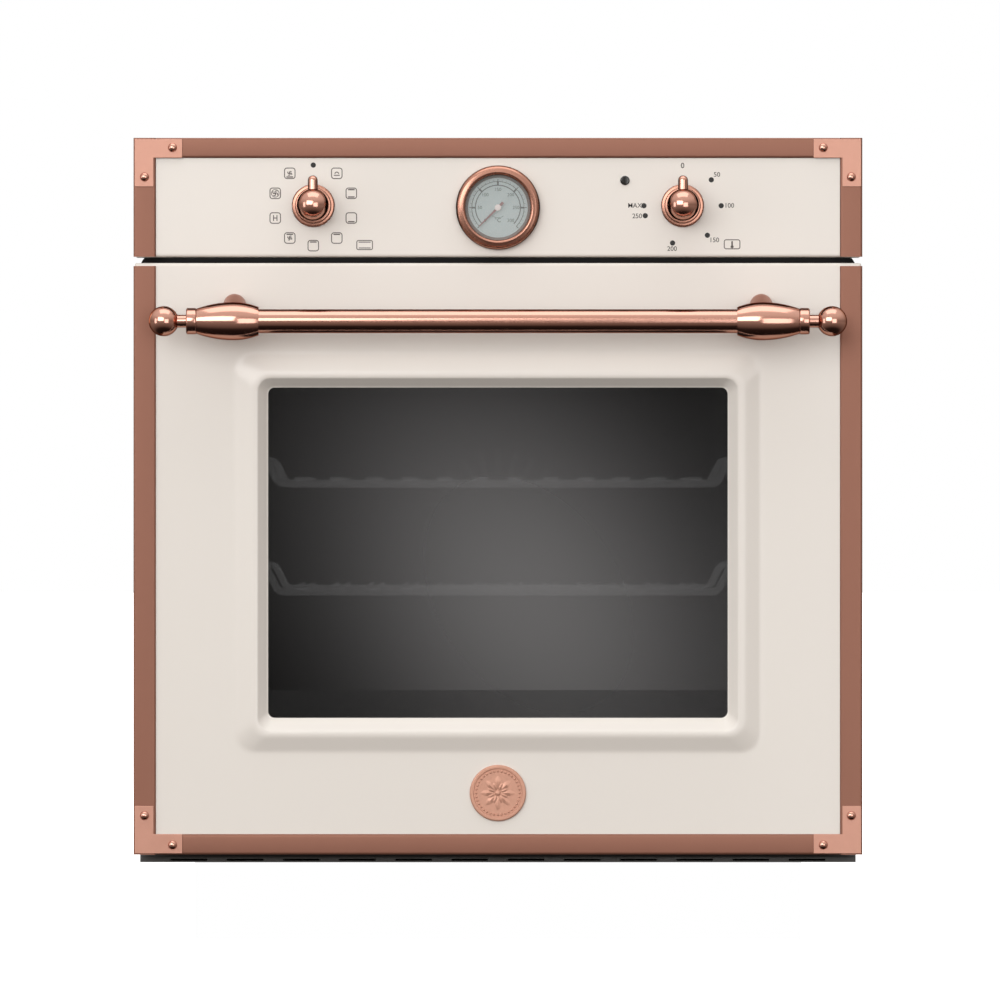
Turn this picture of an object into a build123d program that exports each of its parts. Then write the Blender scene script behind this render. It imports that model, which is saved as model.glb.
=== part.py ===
from build123d import *
import os
from math import asin, cos, degrees, pi, sin, sqrt

os.makedirs("parts", exist_ok=True)

# A built-in oven. X runs to the viewer's right, Y into the cabinet, Z up.
# The origin is the middle of the whole footprint, at the foot of the chassis.
# "Depth" is measured back from the enamelled face of the door and panel.

# ---- overall front ----
FRONT_W = 596.0            # over the trim strips
DOOR_H = 483.8             # door, bottom edge to top edge
PANEL_H = 97.2             # control panel
DOOR_GAP = 5.1             # air slot between door and panel
STRIP_H = 7.3              # lower vent strip
STRIP_GAP = 0.2            # door above the vent strip

# ---- chassis ----
CHASSIS_SIDE = 21.0         # chassis side in from the edge of the front
CHASSIS_DEPTH = 538.5      # behind the front frame
CHASSIS_TOP_DROP = 5.6     # chassis top below the top of the panel
SHEET = 1.0                # chassis sheet
FRAME_T = 1.5              # front frame sheet
FRAME_GAP = 2.0            # door's rear face to the front frame
FRAME_SIDE = 1.0           # front frame set in from the chassis side
EAR_SIDE = 4.0             # fixing ears set in from the edge of the front
EAR_Z = 60.0               # lowest point of the ears
EAR_H = 440.0
FIX_HOLE_R = 2.25          # cabinet screw holes
FIX_EDGE = 7.0             # hole centre in from the ear's edge
FIX_SPACING_Z = 260.0
VENT_SLOT_L = 30.0
SIDE_FOLD = 12.0            # folded rear edge of the sides
TRAY_FOLD = 14.0            # folded edges of the base
LID_REACH = 12.0            # lid laps over the panel's returns
LID_IN = 2.0
LOUVRES = 4
LOUVRE_PITCH = 9.0
LOUVRE_H = 4.0
LOUVRE_DROP = 30.0          # first louvre below the chassis top
LOUVRE_NEAR = 110.0         # louvres from here to there ahead of the back
LOUVRE_FAR = 190.0
BACK_ROWS = 6
BACK_COLUMNS = 5
BACK_PITCH = 16.0
BACK_SLOT_H = 5.0
STRIP_REACH = 5.0           # strip forward of the front frame
STRIP_NOSE_R = 4.0
STRIP_END_R = 1.0
STRIP_SLOTS = 12
STRIP_SLOT_Z = 1.2
STRIP_SLOT_H = 1.6
FRAME_OVER = 8.0            # front frame above the foot of the panel

# ---- cavity ----
CAVITY_W = 430.0
CAVITY_H = 322.0
CAVITY_D = 400.0
CAVITY_FLOOR = 118.0
CAVITY_R = 12.0
LINER_T = 1.0
WOOL_T = 24.0              # insulation blanket
WOOL_GAP = 1.0
ELEMENT_GAP = 17.0         # space under the liner for the bottom element
SEAL_W = 8.0
SEAL_PROUD = 1.6
SEAL_OFF = 4.0             # seal out from the edge of the cavity

# ---- door ----
DOOR_T = 38.0              # enamelled face to rear face
SKIN = 1.2                 # enamelled steel sheet
SKIN_EDGE_R = 2.0
SKIN_SIDE = 1.0            # skin set in from the outer edge of the trim
PANEL_D = 38.0             # returns of the control panel
DOOR_RETURN = 24.0         # returns of the door skin
JOIN_GAP = 0.2
INNER_SIDE = 5.0           # inner frame set in from the skin
INNER_TOP = 4.0
INNER_T = 1.0
TOE_H = 28.5               # height of the sloping toe of the door
WINDOW_MARGIN = 81.0       # edge of the front to the pressed surround
WINDOW_FOOT = 82.3         # door's bottom edge to the pressed surround
WINDOW_HEAD = 72.3         # door's top edge to the pressed surround
SLOPE_W = 20.0             # outer slope of the surround
SLOPE_H = 19.7
BEVEL_W = 9.0              # inner bevel down to the glass
BEVEL_H = 9.75
CREST_DROP = 1.55
CREST_PROUD = 5.0
CREST_FLAT = 2.0           # level band along the crest
GLASS_SET = 4.0            # front of the glass behind the enamelled face
OUTER_R = 17.0
CREST_R = 11.0
GLASS_R = 5.5
GLASS_T = 5.0
GLASS_LAP = 8.0
PANE_T = 4.0               # inner pane
PANE_LAP = 10.0
PANE_MARGIN = 7.0          # inner frame's opening out from the cavity

# ---- trim ----
TRIM_W = 18.3
TRIM_TOP_H = 16.4
TRIM_FOOT_H = 16.8
TRIM_T = 2.0
TRIM_EDGE_R = 1.6
TRIM_HEAD_GAP = 2.5        # door's side strips short of its top edge
BRACKET_ARM = 39.9
BRACKET_T = 0.8
BRACKET_IN = 1.0           # bracket's outer edges in from the corner
BRACKET_SIDE_W = 13.0
BRACKET_SIDE_IN = 2.5
SCREW_HEAD_R = 3.75
SCREW_HEAD_H = 2.2
SCREW_R = 1.5
SCREW_L = 6.0
SCREW_CLEAR = 0.1
SCREW_SIDE = 9.1           # screw on the upright arm, in from the side edge
SCREW_NEAR = 8.0           # screw on the level arm, in from the top edge
SCREW_FAR = 32.0           # the other way along each arm

# ---- handle ----
HANDLE_DROP = 48.4          # bar's axis below the top edge of the door
HANDLE_OUT = 45.0          # bar's axis in front of the enamelled face
BAR_R = 9.65
BAR_STUB_R = 5.0
BAR_END = 194.6            # half the bare length of the bar
OLIVE_L = 50.4             # shaped body of each bracket
OLIVE_IN_R = 11.5
OLIVE_R = 15.45
OLIVE_OUT_R = 10.25
OLIVE_CREST = 20.4         # from the inner end to the thickest place
POST_R = 9.2
POST_RISE = 13.7           # foot above the bar
POST_FOOT = 16.0
POST_BEND_R = 12.0
STUD_R = 3.0
STUD_L = 9.0
COLLAR_R = 10.65
COLLAR_L = 8.5
NECK_R = 5.2
NECK_L = 6.5
BALL_R = 12.25
HANDLE_CLEAR = 0.05

# ---- medallion ----
MEDAL_R = 23.0
MEDAL_T = 2.2
MEDAL_Z = 50.4             # centre above the door's bottom edge

# ---- controls ----
KNOB_X = 151.0
KNOB_Z = 41.8              # above the bottom edge of the panel
KNOB_R = 13.0
KNOB_OUT = 24.0            # centre of the ball in front of the face
KNOB_BASE_R = 12.5
KNOB_BASE_OUT = 6.0        # gap to the panel, over the escutcheon
KNOB_NECK_R = 9.0
POINTER_R = 4.0
POINTER_REACH = 24.0
RING_R = 17.5
RING_T = 5.0
RING_BORE_R = 5.0
SPINDLE_R = 3.0
SPINDLE_CLEAR = 0.05
SPINDLE_HOLE_R = 4.0
SPINDLE_SOCKET = 8.0       # spindle's tip short of the ball's centre
SWITCH_W = 42.0
SWITCH_H = 38.0
SWITCH_D = 30.0
SWITCH_SET = 14.0          # front of the switch behind the face
BUSH_R = 5.5
GAUGE_Z = 40.2             # above the bottom edge of the panel
GAUGE_R = 34.35
GAUGE_RIM_W = 7.6
GAUGE_PROUD = 9.0
GAUGE_CAN_R = 28.5
GAUGE_CAN_D = 24.0
GAUGE_WALL = 0.8
DIAL_T = 0.8
DIAL_SET = 1.5
GAUGE_GLASS_T = 1.5
GAUGE_GLASS_OUT = 5.0
NEEDLE_L = 21.6
NEEDLE_TAIL = 6.0
NEEDLE_W = 1.6
NEEDLE_T = 0.5
NEEDLE_ANGLE = 225.0       # clockwise from upright, at rest
HUB_R = 2.65
HUB_T = 2.0
STAFF_R = 0.8
LAMP_X = 103.9
LAMP_Z = 62.4
LAMP_R = 3.8
LAMP_STEM_R = 3.3
LAMP_STEM_L = 16.0
LAMP_PROUD = 1.4
LAMP_ROUND_R = 0.9
PANEL_CLEAR = 0.2

# ---- hinges ----
HINGE_IN = 22.0            # hinge in from the side of the chassis
HINGE_DEPTH = 16.0
HINGE_Z = 20.5             # above the bottom edge of the door
PIN_R = 3.0
PIN_CLEAR = 0.05
PIN_PRESS = 0.02
ARM_T = 5.0
ARM_H = 12.0
ARM_REACH = 66.0
ARM_FLANGE_W = 28.0
ARM_FLANGE_H = 34.0
CHANNEL_W = 14.0
CHANNEL_T = 1.5
CHANNEL_DEPTH = 17.5
CHANNEL_FRONT = 6.0
CHANNEL_H = 190.0
CHANNEL_FOOT = 6.5
HINGE_SLOT_W = 9.0

# ---- racks ----
RUNNER_GAP = 11.0          # rack's runner in from the cavity wall
RACK_WIRE_R = 3.0
GRID_WIRE_R = 1.4
RACK_D = 335.0
RACK_BACK = 14.0           # rack short of the fan cover
RACK_DROP = 20.0           # grid below the runners
RACK_SHOULDER = 13.0
RACK_KICK = 10.0
RACK_BEND_R = 7.0
GRID_PAIRS = 12
GRID_SIDE = 41.75           # outermost pair in from the runner
GRID_LOOP_W = 9.0
UPPER_RACK_Z = 311.2
LOWER_RACK_Z = 221.8
TRAY_Z = 161.8             # rim of the baking tray
TRAY_H = 26.0
TRAY_RIM = 9.0
TRAY_D = 330.0
TRAY_T = 1.0
TRAY_R = 14.0
GUIDE_R = 2.5
GUIDE_POST_R = 3.0
GUIDE_GAP = 0.5            # guide wire to the runner between them
GUIDE_WALL = 6.2           # upright guide wire in from the cavity wall
GUIDE_FRONT = 22.0          # guides behind the mouth and short of the rear wall
GUIDE_REAR = 12.0
GUIDE_OVER = 30.0           # top wire above the upper level, bottom wire below the tray
GUIDE_UNDER = 22.0
GUIDE_POST_IN = 30.0        # uprights in from the ends of the wires
GUIDE_POST_END = 6.0

# ---- heating and fans ----
ELEMENT_R = 3.4
ELEMENT_CLEAR = 0.8
GRILL_DROP = 16.0
GRILL_X = 150.0
ELEMENT_BEND_R = 14.0
ELEMENT_IN = 60.0           # rods in from the mouth and the rear wall
ELEMENT_TAIL = 6.0          # ends out behind the wool
GRILL_TURN = 45.0           # grill's rear turns ahead of its ends
UNDER_WIDER = 20.0          # bottom rod wider than the grill on each side
FAN_COVER_SIDE = 70.0       # cover in from the side of the cavity
FAN_COVER_H = 236.0
FAN_COVER_D = 26.0
FAN_COVER_T = 1.0
FAN_COVER_R = 20.0
FAN_SLOT_IN = 30.0          # star of slots, from and to this far out
FAN_SLOT_OUT = 62.0
FAN_SLOT_H = 5.0
FAN_SIDE_SLOTS = 9
FAN_SIDE_PITCH = 22.0
FAN_SIDE_H = 6.0
FAN_SIDE_IN = 6.0
FAN_SLOTS = 24
FAN_R = 72.0
FAN_BLADES = 12
FAN_BLADE_D = 13.0
FAN_DISC_SET = 7.0         # disc in front of the rear wall
FAN_DISC_T = 1.5
FAN_HUB_R = 11.0
FAN_BLADE_IN = 26.0
FAN_BLADE_T = 1.2
SHAFT_R = 4.0
SHAFT_CLEAR = 0.05
SHAFT_HOLE_R = 6.0
MOTOR_R = 34.0
MOTOR_L = 44.0
MOTOR_SET = 38.0           # motor behind the rear wall of the cavity
MOTOR_POST_R = 3.0
MOTOR_POSTS = 3
RING_ELEMENT_R = 92.0
BULB_GLASS_R = 20.0
BULB_GLASS_D = 12.0
BULB_GLASS_T = 3.0
BULB_ROUND_R = 6.0
BULB_R = 4.5
BULB_SIDE = 35.0           # lamp in from the cavity's left wall
BULB_TOP = 35.0
BULB_HOLDER_R = 15.0
BULB_HOLDER_L = 34.0
BLOWER_R = 26.0
BLOWER_L = 180.0
BLOWER_BLADES = 20
BLOWER_DEPTH = 330.0
BLOWER_CLEAR = 3.0
BLOWER_WALL = 2.0
BLOWER_THROAT = 70.0        # duct forward of the drum
BLOWER_INLET = 32.0         # width of the slot over the drum
BLOWER_DISC_T = 1.5
BLOWER_BLADE_W = 7.0
BLOWER_BLADE_T = 0.8
BLOWER_SHAFT_R = 2.5
BLOWER_MOTOR_R = 24.0
BLOWER_MOTOR_L = 45.0

# ---- supply ----
GLAND_X = 60.0             # in from the chassis side
GLAND_Z = 50.0             # below the chassis top
GLAND_BORE_R = 5.0
GLAND_R = 9.0
GLAND_NUT_R = 13.0
GLAND_NUT_T = 4.0
GLAND_PROUD = 10.0
GLAND_L = 26.0
BLOCK_W = 60.0
BLOCK_H = 28.0
BLOCK_D = 24.0
BLOCK_DROP = 40.0
CAPILLARY_R = 1.0
SENSOR_R = 3.0
SENSOR_L = 80.0
SENSOR_SHIFT = 4.0          # bulb nearer to the cavity's side than the grill
SENSOR_BACK = 130.0         # where the tube drops, behind the front frame

# ---- places worked out from the sizes ----
FRAME_D = DOOR_T + FRAME_GAP
CHASSIS_D = FRAME_D + FRAME_T
BACK_D = CHASSIS_D + CHASSIS_DEPTH
FRONT_REACH = HANDLE_OUT + OLIVE_R
FACE_Y = FRONT_REACH - (FRONT_REACH + BACK_D + GLAND_PROUD) / 2
HALF_W = FRONT_W / 2
SKIN_X = HALF_W - SKIN_SIDE
DOOR_Z = STRIP_H + STRIP_GAP
DOOR_TOP = DOOR_Z + DOOR_H
PANEL_Z = DOOR_TOP + DOOR_GAP
PANEL_TOP = PANEL_Z + PANEL_H
CHASSIS_X = HALF_W - CHASSIS_SIDE
CHASSIS_TOP = PANEL_TOP - CHASSIS_TOP_DROP
CAVITY_X = CAVITY_W / 2
CAVITY_TOP = CAVITY_FLOOR + CAVITY_H
CAVITY_Z = CAVITY_FLOOR + CAVITY_H / 2
CAVITY_BACK = CHASSIS_D + CAVITY_D
LINER_BACK = CAVITY_BACK + LINER_T
HINGE_X = CHASSIS_X - HINGE_IN
PIVOT_Z = DOOR_Z + HINGE_Z
HANDLE_Z = DOOR_TOP - HANDLE_DROP
POST_X = BAR_END + OLIVE_CREST
SURROUND_W = FRONT_W - 2 * WINDOW_MARGIN
SURROUND_H = DOOR_H - WINDOW_FOOT - WINDOW_HEAD
WINDOW_Z = DOOR_Z + WINDOW_FOOT + SURROUND_H / 2
CREST_W = SURROUND_W - 2 * SLOPE_W
CREST_H = SURROUND_H - 2 * SLOPE_H
WINDOW_W = CREST_W - 2 * BEVEL_W
WINDOW_H = CREST_H - 2 * BEVEL_H
KNOB_AXIS_Z = PANEL_Z + KNOB_Z
GAUGE_AXIS_Z = PANEL_Z + GAUGE_Z
RUNNER_X = CAVITY_X - RUNNER_GAP
RACK_BACK_D = CAVITY_BACK - FAN_COVER_D - RACK_BACK
RACK_FRONT_D = RACK_BACK_D - RACK_D
GRID_PITCH = 2 * (RUNNER_X - GRID_SIDE) / (GRID_PAIRS - 1)
FAN_COVER_W = CAVITY_W - 2 * FAN_COVER_SIDE
PANE_W = CAVITY_W + 2 * (PANE_MARGIN + PANE_LAP)
PANE_H = CAVITY_H + 2 * (PANE_MARGIN + PANE_LAP)
WOOL_BACK = LINER_BACK + WOOL_GAP + WOOL_T
WOOL_TOP = CAVITY_TOP + LINER_T + WOOL_GAP + WOOL_T
BLOWER_Z = WOOL_TOP + BLOWER_WALL + BLOWER_CLEAR + BLOWER_R
BULB_X = BULB_SIDE - CAVITY_X
BULB_Z = CAVITY_TOP - BULB_TOP
GRILL_Z = CAVITY_TOP - GRILL_DROP
UNDER_Z = CAVITY_FLOOR - LINER_T - ELEMENT_GAP / 2
ELEMENT_END_X = 20.0
SENSOR_X = (GRILL_X + CAVITY_X) / 2 + SENSOR_SHIFT
SENSOR_D = CHASSIS_D + SENSOR_BACK


# ---- drawing helpers ----
def slab(x0, x1, d0, d1, z0, z1):
    """A block between two corners; d is depth behind the enamelled face."""
    middle = ((x0 + x1) / 2, FACE_Y + (d0 + d1) / 2, (z0 + z1) / 2)
    return Pos(*middle) * Box(x1 - x0, d1 - d0, z1 - z0)


def rod_y(x, z, radius, d0, d1):
    """A round bar that runs front to back."""
    return Pos(x, FACE_Y + (d0 + d1) / 2, z) * Rot(90, 0, 0) * Cylinder(radius, d1 - d0)


def rod_x(depth, z, radius, x0, x1):
    """A round bar that runs from side to side."""
    return Pos((x0 + x1) / 2, FACE_Y + depth, z) * Rot(0, 90, 0) * Cylinder(radius, x1 - x0)


def rod_z(x, depth, radius, z0, z1):
    """An upright round bar."""
    return Pos(x, FACE_Y + depth, (z0 + z1) / 2) * Cylinder(radius, z1 - z0)


def face_plane(depth, x=0.0, z=0.0):
    """A plane that faces the viewer, with its own x to the right and y up."""
    return Plane(origin=(x, FACE_Y + depth, z), x_dir=(1, 0, 0), z_dir=(0, -1, 0))


def plate(width, height, radius, x, z, d0, d1):
    """A plate with round corners, between two depths."""
    return extrude(face_plane(d1, x, z) * RectangleRounded(width, height, radius), d1 - d0)


def turned(profile, x, z):
    """Spins (radius, depth) points about a front-to-back axis."""
    outline = [(radius, FACE_Y + depth) for radius, depth in profile]
    face = make_face(Polyline(*outline, close=True))
    return Pos(x, 0, z) * revolve(face, axis=Axis.Y)


def tube(points, radii, radius):
    """A round wire or tube along (x, depth, z) points with rounded corners."""
    route = [Vector(x, FACE_Y + depth, z) for x, depth, z in points]
    path = FilletPolyline(*route, radius=radii)
    start = Plane(origin=route[0], z_dir=(route[1] - route[0]).normalized())
    return sweep(start * Circle(radius), path=path)


def both_sides(shape):
    """The shape and its mirror image across the middle."""
    return [shape, mirror(shape, about=Plane.YZ)]


def group(shapes):
    """Several separate solids as one sub-part."""
    return Compound(children=[solid for shape in shapes for solid in shape.solids()])


# ---- trim, brackets and screws ----
def trim_strip(x0, x1, z0, z1, upright):
    """A flat strip on the enamelled face with its long front edges rounded."""
    strip = slab(x0, x1, -TRIM_T, 0, z0, z1)
    run = Axis.Z if upright else Axis.X
    front = strip.edges().filter_by(run).group_by(Axis.Y)[0]
    return fillet(front, TRIM_EDGE_R)


def screw_places(z_edge, inward):
    """Screw centres of the right-hand bracket; inward is +1 up or -1 down."""
    side = (HALF_W - SCREW_SIDE, z_edge + inward * SCREW_FAR)
    level = (HALF_W - SCREW_FAR, z_edge + inward * SCREW_NEAR)
    return [side, level]


def screw_holes(z_edge, inward, d0, d1):
    """The clearance holes of both brackets at one edge."""
    holes = []
    for x, z in screw_places(z_edge, inward):
        holes += both_sides(rod_y(x, z, SCREW_R + SCREW_CLEAR, d0, d1))
    return holes


def trim_set(z0, z1, edge_h, inward):
    """Two upright strips and one level strip along the outer edge."""
    side = trim_strip(HALF_W - TRIM_W, HALF_W, z0, z1, True)
    level_x = HALF_W - TRIM_W - JOIN_GAP
    edge = z1 if inward < 0 else z0
    low = min(edge, edge + inward * edge_h)
    level = trim_strip(-level_x, level_x, low, low + edge_h, False)
    strips = both_sides(side) + [level]
    holes = screw_holes(edge, inward, -TRIM_T - 1, 1)
    for i in range(len(strips)):
        for hole in holes:
            strips[i] = strips[i] - hole
    return group(strips)


def corner_brackets(z_edge, edge_h, inward):
    """The pair of L brackets on one outer edge of the front."""
    edge = z_edge + inward * BRACKET_IN
    level_z = z_edge + inward * edge_h
    arm_z = z_edge + inward * BRACKET_ARM
    d0 = -TRIM_T - BRACKET_T
    level = slab(HALF_W - BRACKET_ARM, HALF_W - BRACKET_IN, d0, -TRIM_T,
                 min(edge, level_z), max(edge, level_z))
    side_x = HALF_W - BRACKET_SIDE_IN
    side = slab(side_x - BRACKET_SIDE_W, side_x, d0, -TRIM_T, min(edge, arm_z), max(edge, arm_z))
    bracket = level + side
    pair = both_sides(bracket)
    holes = screw_holes(z_edge, inward, d0 - 1, 1)
    for i in range(len(pair)):
        for hole in holes:
            pair[i] = pair[i] - hole
    return group(pair)


def bracket_screws(z_edge, inward):
    """Domed screws through the brackets, the trim and the skin."""
    seat = -TRIM_T - BRACKET_T
    sphere_r = (SCREW_HEAD_R ** 2 + SCREW_HEAD_H ** 2) / (2 * SCREW_HEAD_H)
    screws = []
    for x, z in screw_places(z_edge, inward):
        ball = Pos(x, FACE_Y + seat - SCREW_HEAD_H + sphere_r, z) * Sphere(sphere_r)
        head = ball & rod_y(x, z, SCREW_HEAD_R, seat - SCREW_HEAD_H - 1, seat)
        screws += both_sides(head + rod_y(x, z, SCREW_R, seat, seat + SCREW_L))
    return group(screws)


# ---- pressed skins ----
def skin_box(z0, z1, returns):
    """A pan of enamelled sheet with round front edges, open at the back."""
    outer = slab(-SKIN_X, SKIN_X, 0, returns, z0, z1)
    front = outer.faces().sort_by(Axis.Y)[0]
    outer = fillet(front.edges(), SKIN_EDGE_R)
    inner = slab(-SKIN_X + SKIN, SKIN_X - SKIN, SKIN, returns + 1, z0 + SKIN, z1 - SKIN)
    front = inner.faces().sort_by(Axis.Y)[0]
    inner = fillet(front.edges(), SKIN_EDGE_R - SKIN)
    return outer - inner


def control_panel():
    """The upper skin with holes for the controls."""
    panel = skin_box(PANEL_Z, PANEL_TOP, PANEL_D)
    for x in (-KNOB_X, KNOB_X):
        panel -= rod_y(x, KNOB_AXIS_Z, SPINDLE_HOLE_R, -1, SKIN + 1)
    panel -= rod_y(0, GAUGE_AXIS_Z, GAUGE_CAN_R + PANEL_CLEAR, -1, SKIN + 1)
    panel -= rod_y(LAMP_X, PANEL_Z + LAMP_Z, LAMP_STEM_R + PANEL_CLEAR, -1, SKIN + 1)
    for hole in screw_holes(PANEL_TOP, -1, -1, SKIN + 1):
        panel -= hole
    return panel


def window_loft(grow, d_front, d_back):
    """The tapering opening from the crest of the surround to the glass."""
    crest = face_plane(d_front, 0, WINDOW_Z - CREST_DROP)
    sill = face_plane(d_back, 0, WINDOW_Z)
    wide = RectangleRounded(CREST_W + 2 * grow, CREST_H + 2 * grow, CREST_R + grow)
    narrow = RectangleRounded(WINDOW_W + 2 * grow, WINDOW_H + 2 * grow, GLASS_R + grow)
    return loft([sill * narrow, crest * wide], ruled=True)


def surround_loft(set_back):
    """The raised block of the surround, moved back by the sheet's thickness."""
    foot = face_plane(set_back, 0, WINDOW_Z)
    crest = face_plane(set_back - CREST_PROUD, 0, WINDOW_Z - CREST_DROP)
    wide = RectangleRounded(SURROUND_W, SURROUND_H, OUTER_R)
    narrow = RectangleRounded(CREST_W + 2 * CREST_FLAT, CREST_H + 2 * CREST_FLAT,
                              CREST_R + CREST_FLAT)
    return loft([foot * wide, crest * narrow], ruled=True)


def door_panel():
    """The door skin with its pressed window surround."""
    skin = skin_box(DOOR_Z, DOOR_TOP, DOOR_RETURN)
    skin += surround_loft(0)
    skin -= surround_loft(SKIN)
    rim = window_loft(SKIN, -CREST_PROUD, GLASS_SET)
    skin += rim
    skin -= window_loft(0, -CREST_PROUD, GLASS_SET)
    for x in (-POST_X, POST_X):
        skin -= rod_y(x, HANDLE_Z + POST_RISE, STUD_R + PANEL_CLEAR, -1, SKIN + 1)
    for hole in screw_holes(DOOR_Z, 1, -1, SKIN + 1):
        skin -= hole
    for slot in hinge_slots():
        skin -= slot
    return skin


def hinge_slots():
    """Room at the door's toe for the hinge arms as the door swings."""
    half = HINGE_SLOT_W / 2
    front = HINGE_DEPTH - ARM_H / 2 - (HINGE_SLOT_W - ARM_T) / 2
    top = PIVOT_Z + ARM_H / 2 + 4.0
    slot = slab(HINGE_X - half, HINGE_X + half, front, DOOR_T + 1, DOOR_Z - 1, top)
    return both_sides(slot)


def toe_block(x_half, d0, d1, z0, z1, toe_z):
    """A block whose lower rear corner slopes away above the toe."""
    outline = [(d0, z0), (d0, z1), (d1, z1), (d1, toe_z)]
    points = [(FACE_Y + depth, z) for depth, z in outline]
    face = make_face(Plane.YZ.offset(-x_half) * Polyline(*points, close=True))
    return extrude(face, 2 * x_half, dir=(1, 0, 0))


def door_inner_frame():
    """The rear pan of the door, which holds the inner pane."""
    x_half = SKIN_X - INNER_SIDE
    z1 = DOOR_TOP - INNER_TOP
    d0 = DOOR_RETURN + JOIN_GAP
    toe = DOOR_Z + TOE_H
    outer = toe_block(x_half, d0, DOOR_T, DOOR_Z + SKIN, z1, toe)
    inner = toe_block(x_half - INNER_T, d0 - 1, DOOR_T - INNER_T, DOOR_Z + 2 * SKIN, z1 - INNER_T,
                      toe + INNER_T)
    frame = outer - inner
    opening = plate(PANE_W - 2 * PANE_LAP, PANE_H - 2 * PANE_LAP, GLASS_R, 0, CAVITY_Z,
                    DOOR_T - 2 * INNER_T, DOOR_T + 1)
    frame -= opening
    for slot in hinge_slots():
        frame -= slot
    return frame


def outer_glass():
    """The smoked pane behind the surround."""
    width = WINDOW_W + 2 * GLASS_LAP
    height = WINDOW_H + 2 * GLASS_LAP
    front = GLASS_SET + JOIN_GAP / 2
    return plate(width, height, GLASS_R, 0, WINDOW_Z, front, front + GLASS_T)


def inner_glass():
    """The clear pane against the inner frame."""
    back = DOOR_T - INNER_T
    return plate(PANE_W, PANE_H, GLASS_R, 0, CAVITY_Z, back - PANE_T, back)


# ---- handle ----
def lathe_x(edges, z):
    """Spins an outline in the plane of the bar about the bar's axis."""
    face = make_face(edges)
    spun = revolve(face, axis=Axis.X)
    return Pos(0, FACE_Y - HANDLE_OUT, z) * spun


def handle_bar():
    """The round bar with a thinner stub through each bracket."""
    bar = rod_x(-HANDLE_OUT, HANDLE_Z, BAR_R, -BAR_END, BAR_END)
    reach = BAR_END + OLIVE_L + COLLAR_L / 2
    return bar + rod_x(-HANDLE_OUT, HANDLE_Z, BAR_STUB_R, -reach, reach)


def handle_posts():
    """The two shaped brackets, each a turned body on a cranked post."""
    end = BAR_END + OLIVE_L
    bulge = Spline((BAR_END, OLIVE_IN_R), (POST_X, OLIVE_R), (end, OLIVE_OUT_R))
    rest = Polyline((end, OLIVE_OUT_R), (end, 0), (BAR_END, 0), (BAR_END, OLIVE_IN_R))
    olive = lathe_x([bulge, rest], HANDLE_Z)
    foot_z = HANDLE_Z + POST_RISE
    route = [(POST_X, 0, foot_z), (POST_X, -POST_FOOT, foot_z), (POST_X, -HANDLE_OUT, HANDLE_Z)]
    post = tube(route, [POST_BEND_R], POST_R)
    post += rod_y(POST_X, foot_z, STUD_R, -1, STUD_L)
    bore = rod_x(-HANDLE_OUT, HANDLE_Z, BAR_STUB_R + HANDLE_CLEAR, BAR_END - 1, end + 1)
    return group(both_sides(olive + post - bore))


def handle_finials():
    """A collar, neck and ball on each end of the bar."""
    start = BAR_END + OLIVE_L
    neck = start + COLLAR_L
    ball_x = neck + NECK_L + BALL_R - 0.5
    finial = rod_x(-HANDLE_OUT, HANDLE_Z, COLLAR_R, start, neck)
    finial += rod_x(-HANDLE_OUT, HANDLE_Z, NECK_R, neck - 1, ball_x)
    finial += Pos(ball_x, FACE_Y - HANDLE_OUT, HANDLE_Z) * Sphere(BALL_R)
    socket = start + COLLAR_L / 2 + HANDLE_CLEAR
    finial -= rod_x(-HANDLE_OUT, HANDLE_Z, BAR_STUB_R + HANDLE_CLEAR, start - 1, socket)
    return group(both_sides(finial))


def medallion():
    """A round plaque with a softened rim."""
    disc = rod_y(0, DOOR_Z + MEDAL_Z, MEDAL_R, -MEDAL_T, 0)
    rim = disc.edges().group_by(Axis.Y)[0]
    return fillet(rim, MEDAL_T / 2)


# ---- hinges ----
def hinge_channels():
    """Steel channels in the door, open to the rear, with pin holes."""
    half = CHANNEL_W / 2
    z0 = DOOR_Z + CHANNEL_FOOT
    back = CHANNEL_FRONT + CHANNEL_DEPTH
    channel = slab(HINGE_X - half, HINGE_X + half, CHANNEL_FRONT, back, z0, z0 + CHANNEL_H)
    inside = half - CHANNEL_T
    channel -= slab(HINGE_X - inside, HINGE_X + inside, CHANNEL_FRONT + CHANNEL_T, back + 1,
                    z0 - 1, z0 + CHANNEL_H + 1)
    channel -= rod_x(HINGE_DEPTH, PIVOT_Z, PIN_R + PIN_PRESS, HINGE_X - half - 1, HINGE_X + half + 1)
    return group(both_sides(channel))


def hinge_pins():
    """The pins that the door turns on."""
    half = CHANNEL_W / 2 + 1.5
    return group(both_sides(rod_x(HINGE_DEPTH, PIVOT_Z, PIN_R, HINGE_X - half, HINGE_X + half)))


def hinge_arms():
    """Fixed arms that reach from the front frame into the door."""
    half = ARM_T / 2
    arm = slab(HINGE_X - half, HINGE_X + half, HINGE_DEPTH, HINGE_DEPTH + ARM_REACH,
               PIVOT_Z - ARM_H / 2, PIVOT_Z + ARM_H / 2)
    arm += rod_x(HINGE_DEPTH, PIVOT_Z, ARM_H / 2, HINGE_X - half, HINGE_X + half)
    arm += slab(HINGE_X - ARM_FLANGE_W / 2, HINGE_X + ARM_FLANGE_W / 2, CHASSIS_D,
                CHASSIS_D + 2 * FRAME_T, PIVOT_Z - ARM_FLANGE_H / 2, PIVOT_Z + ARM_FLANGE_H / 2)
    arm -= rod_x(HINGE_DEPTH, PIVOT_Z, PIN_R + PIN_CLEAR, HINGE_X - ARM_T, HINGE_X + ARM_T)
    return group(both_sides(arm))


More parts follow.
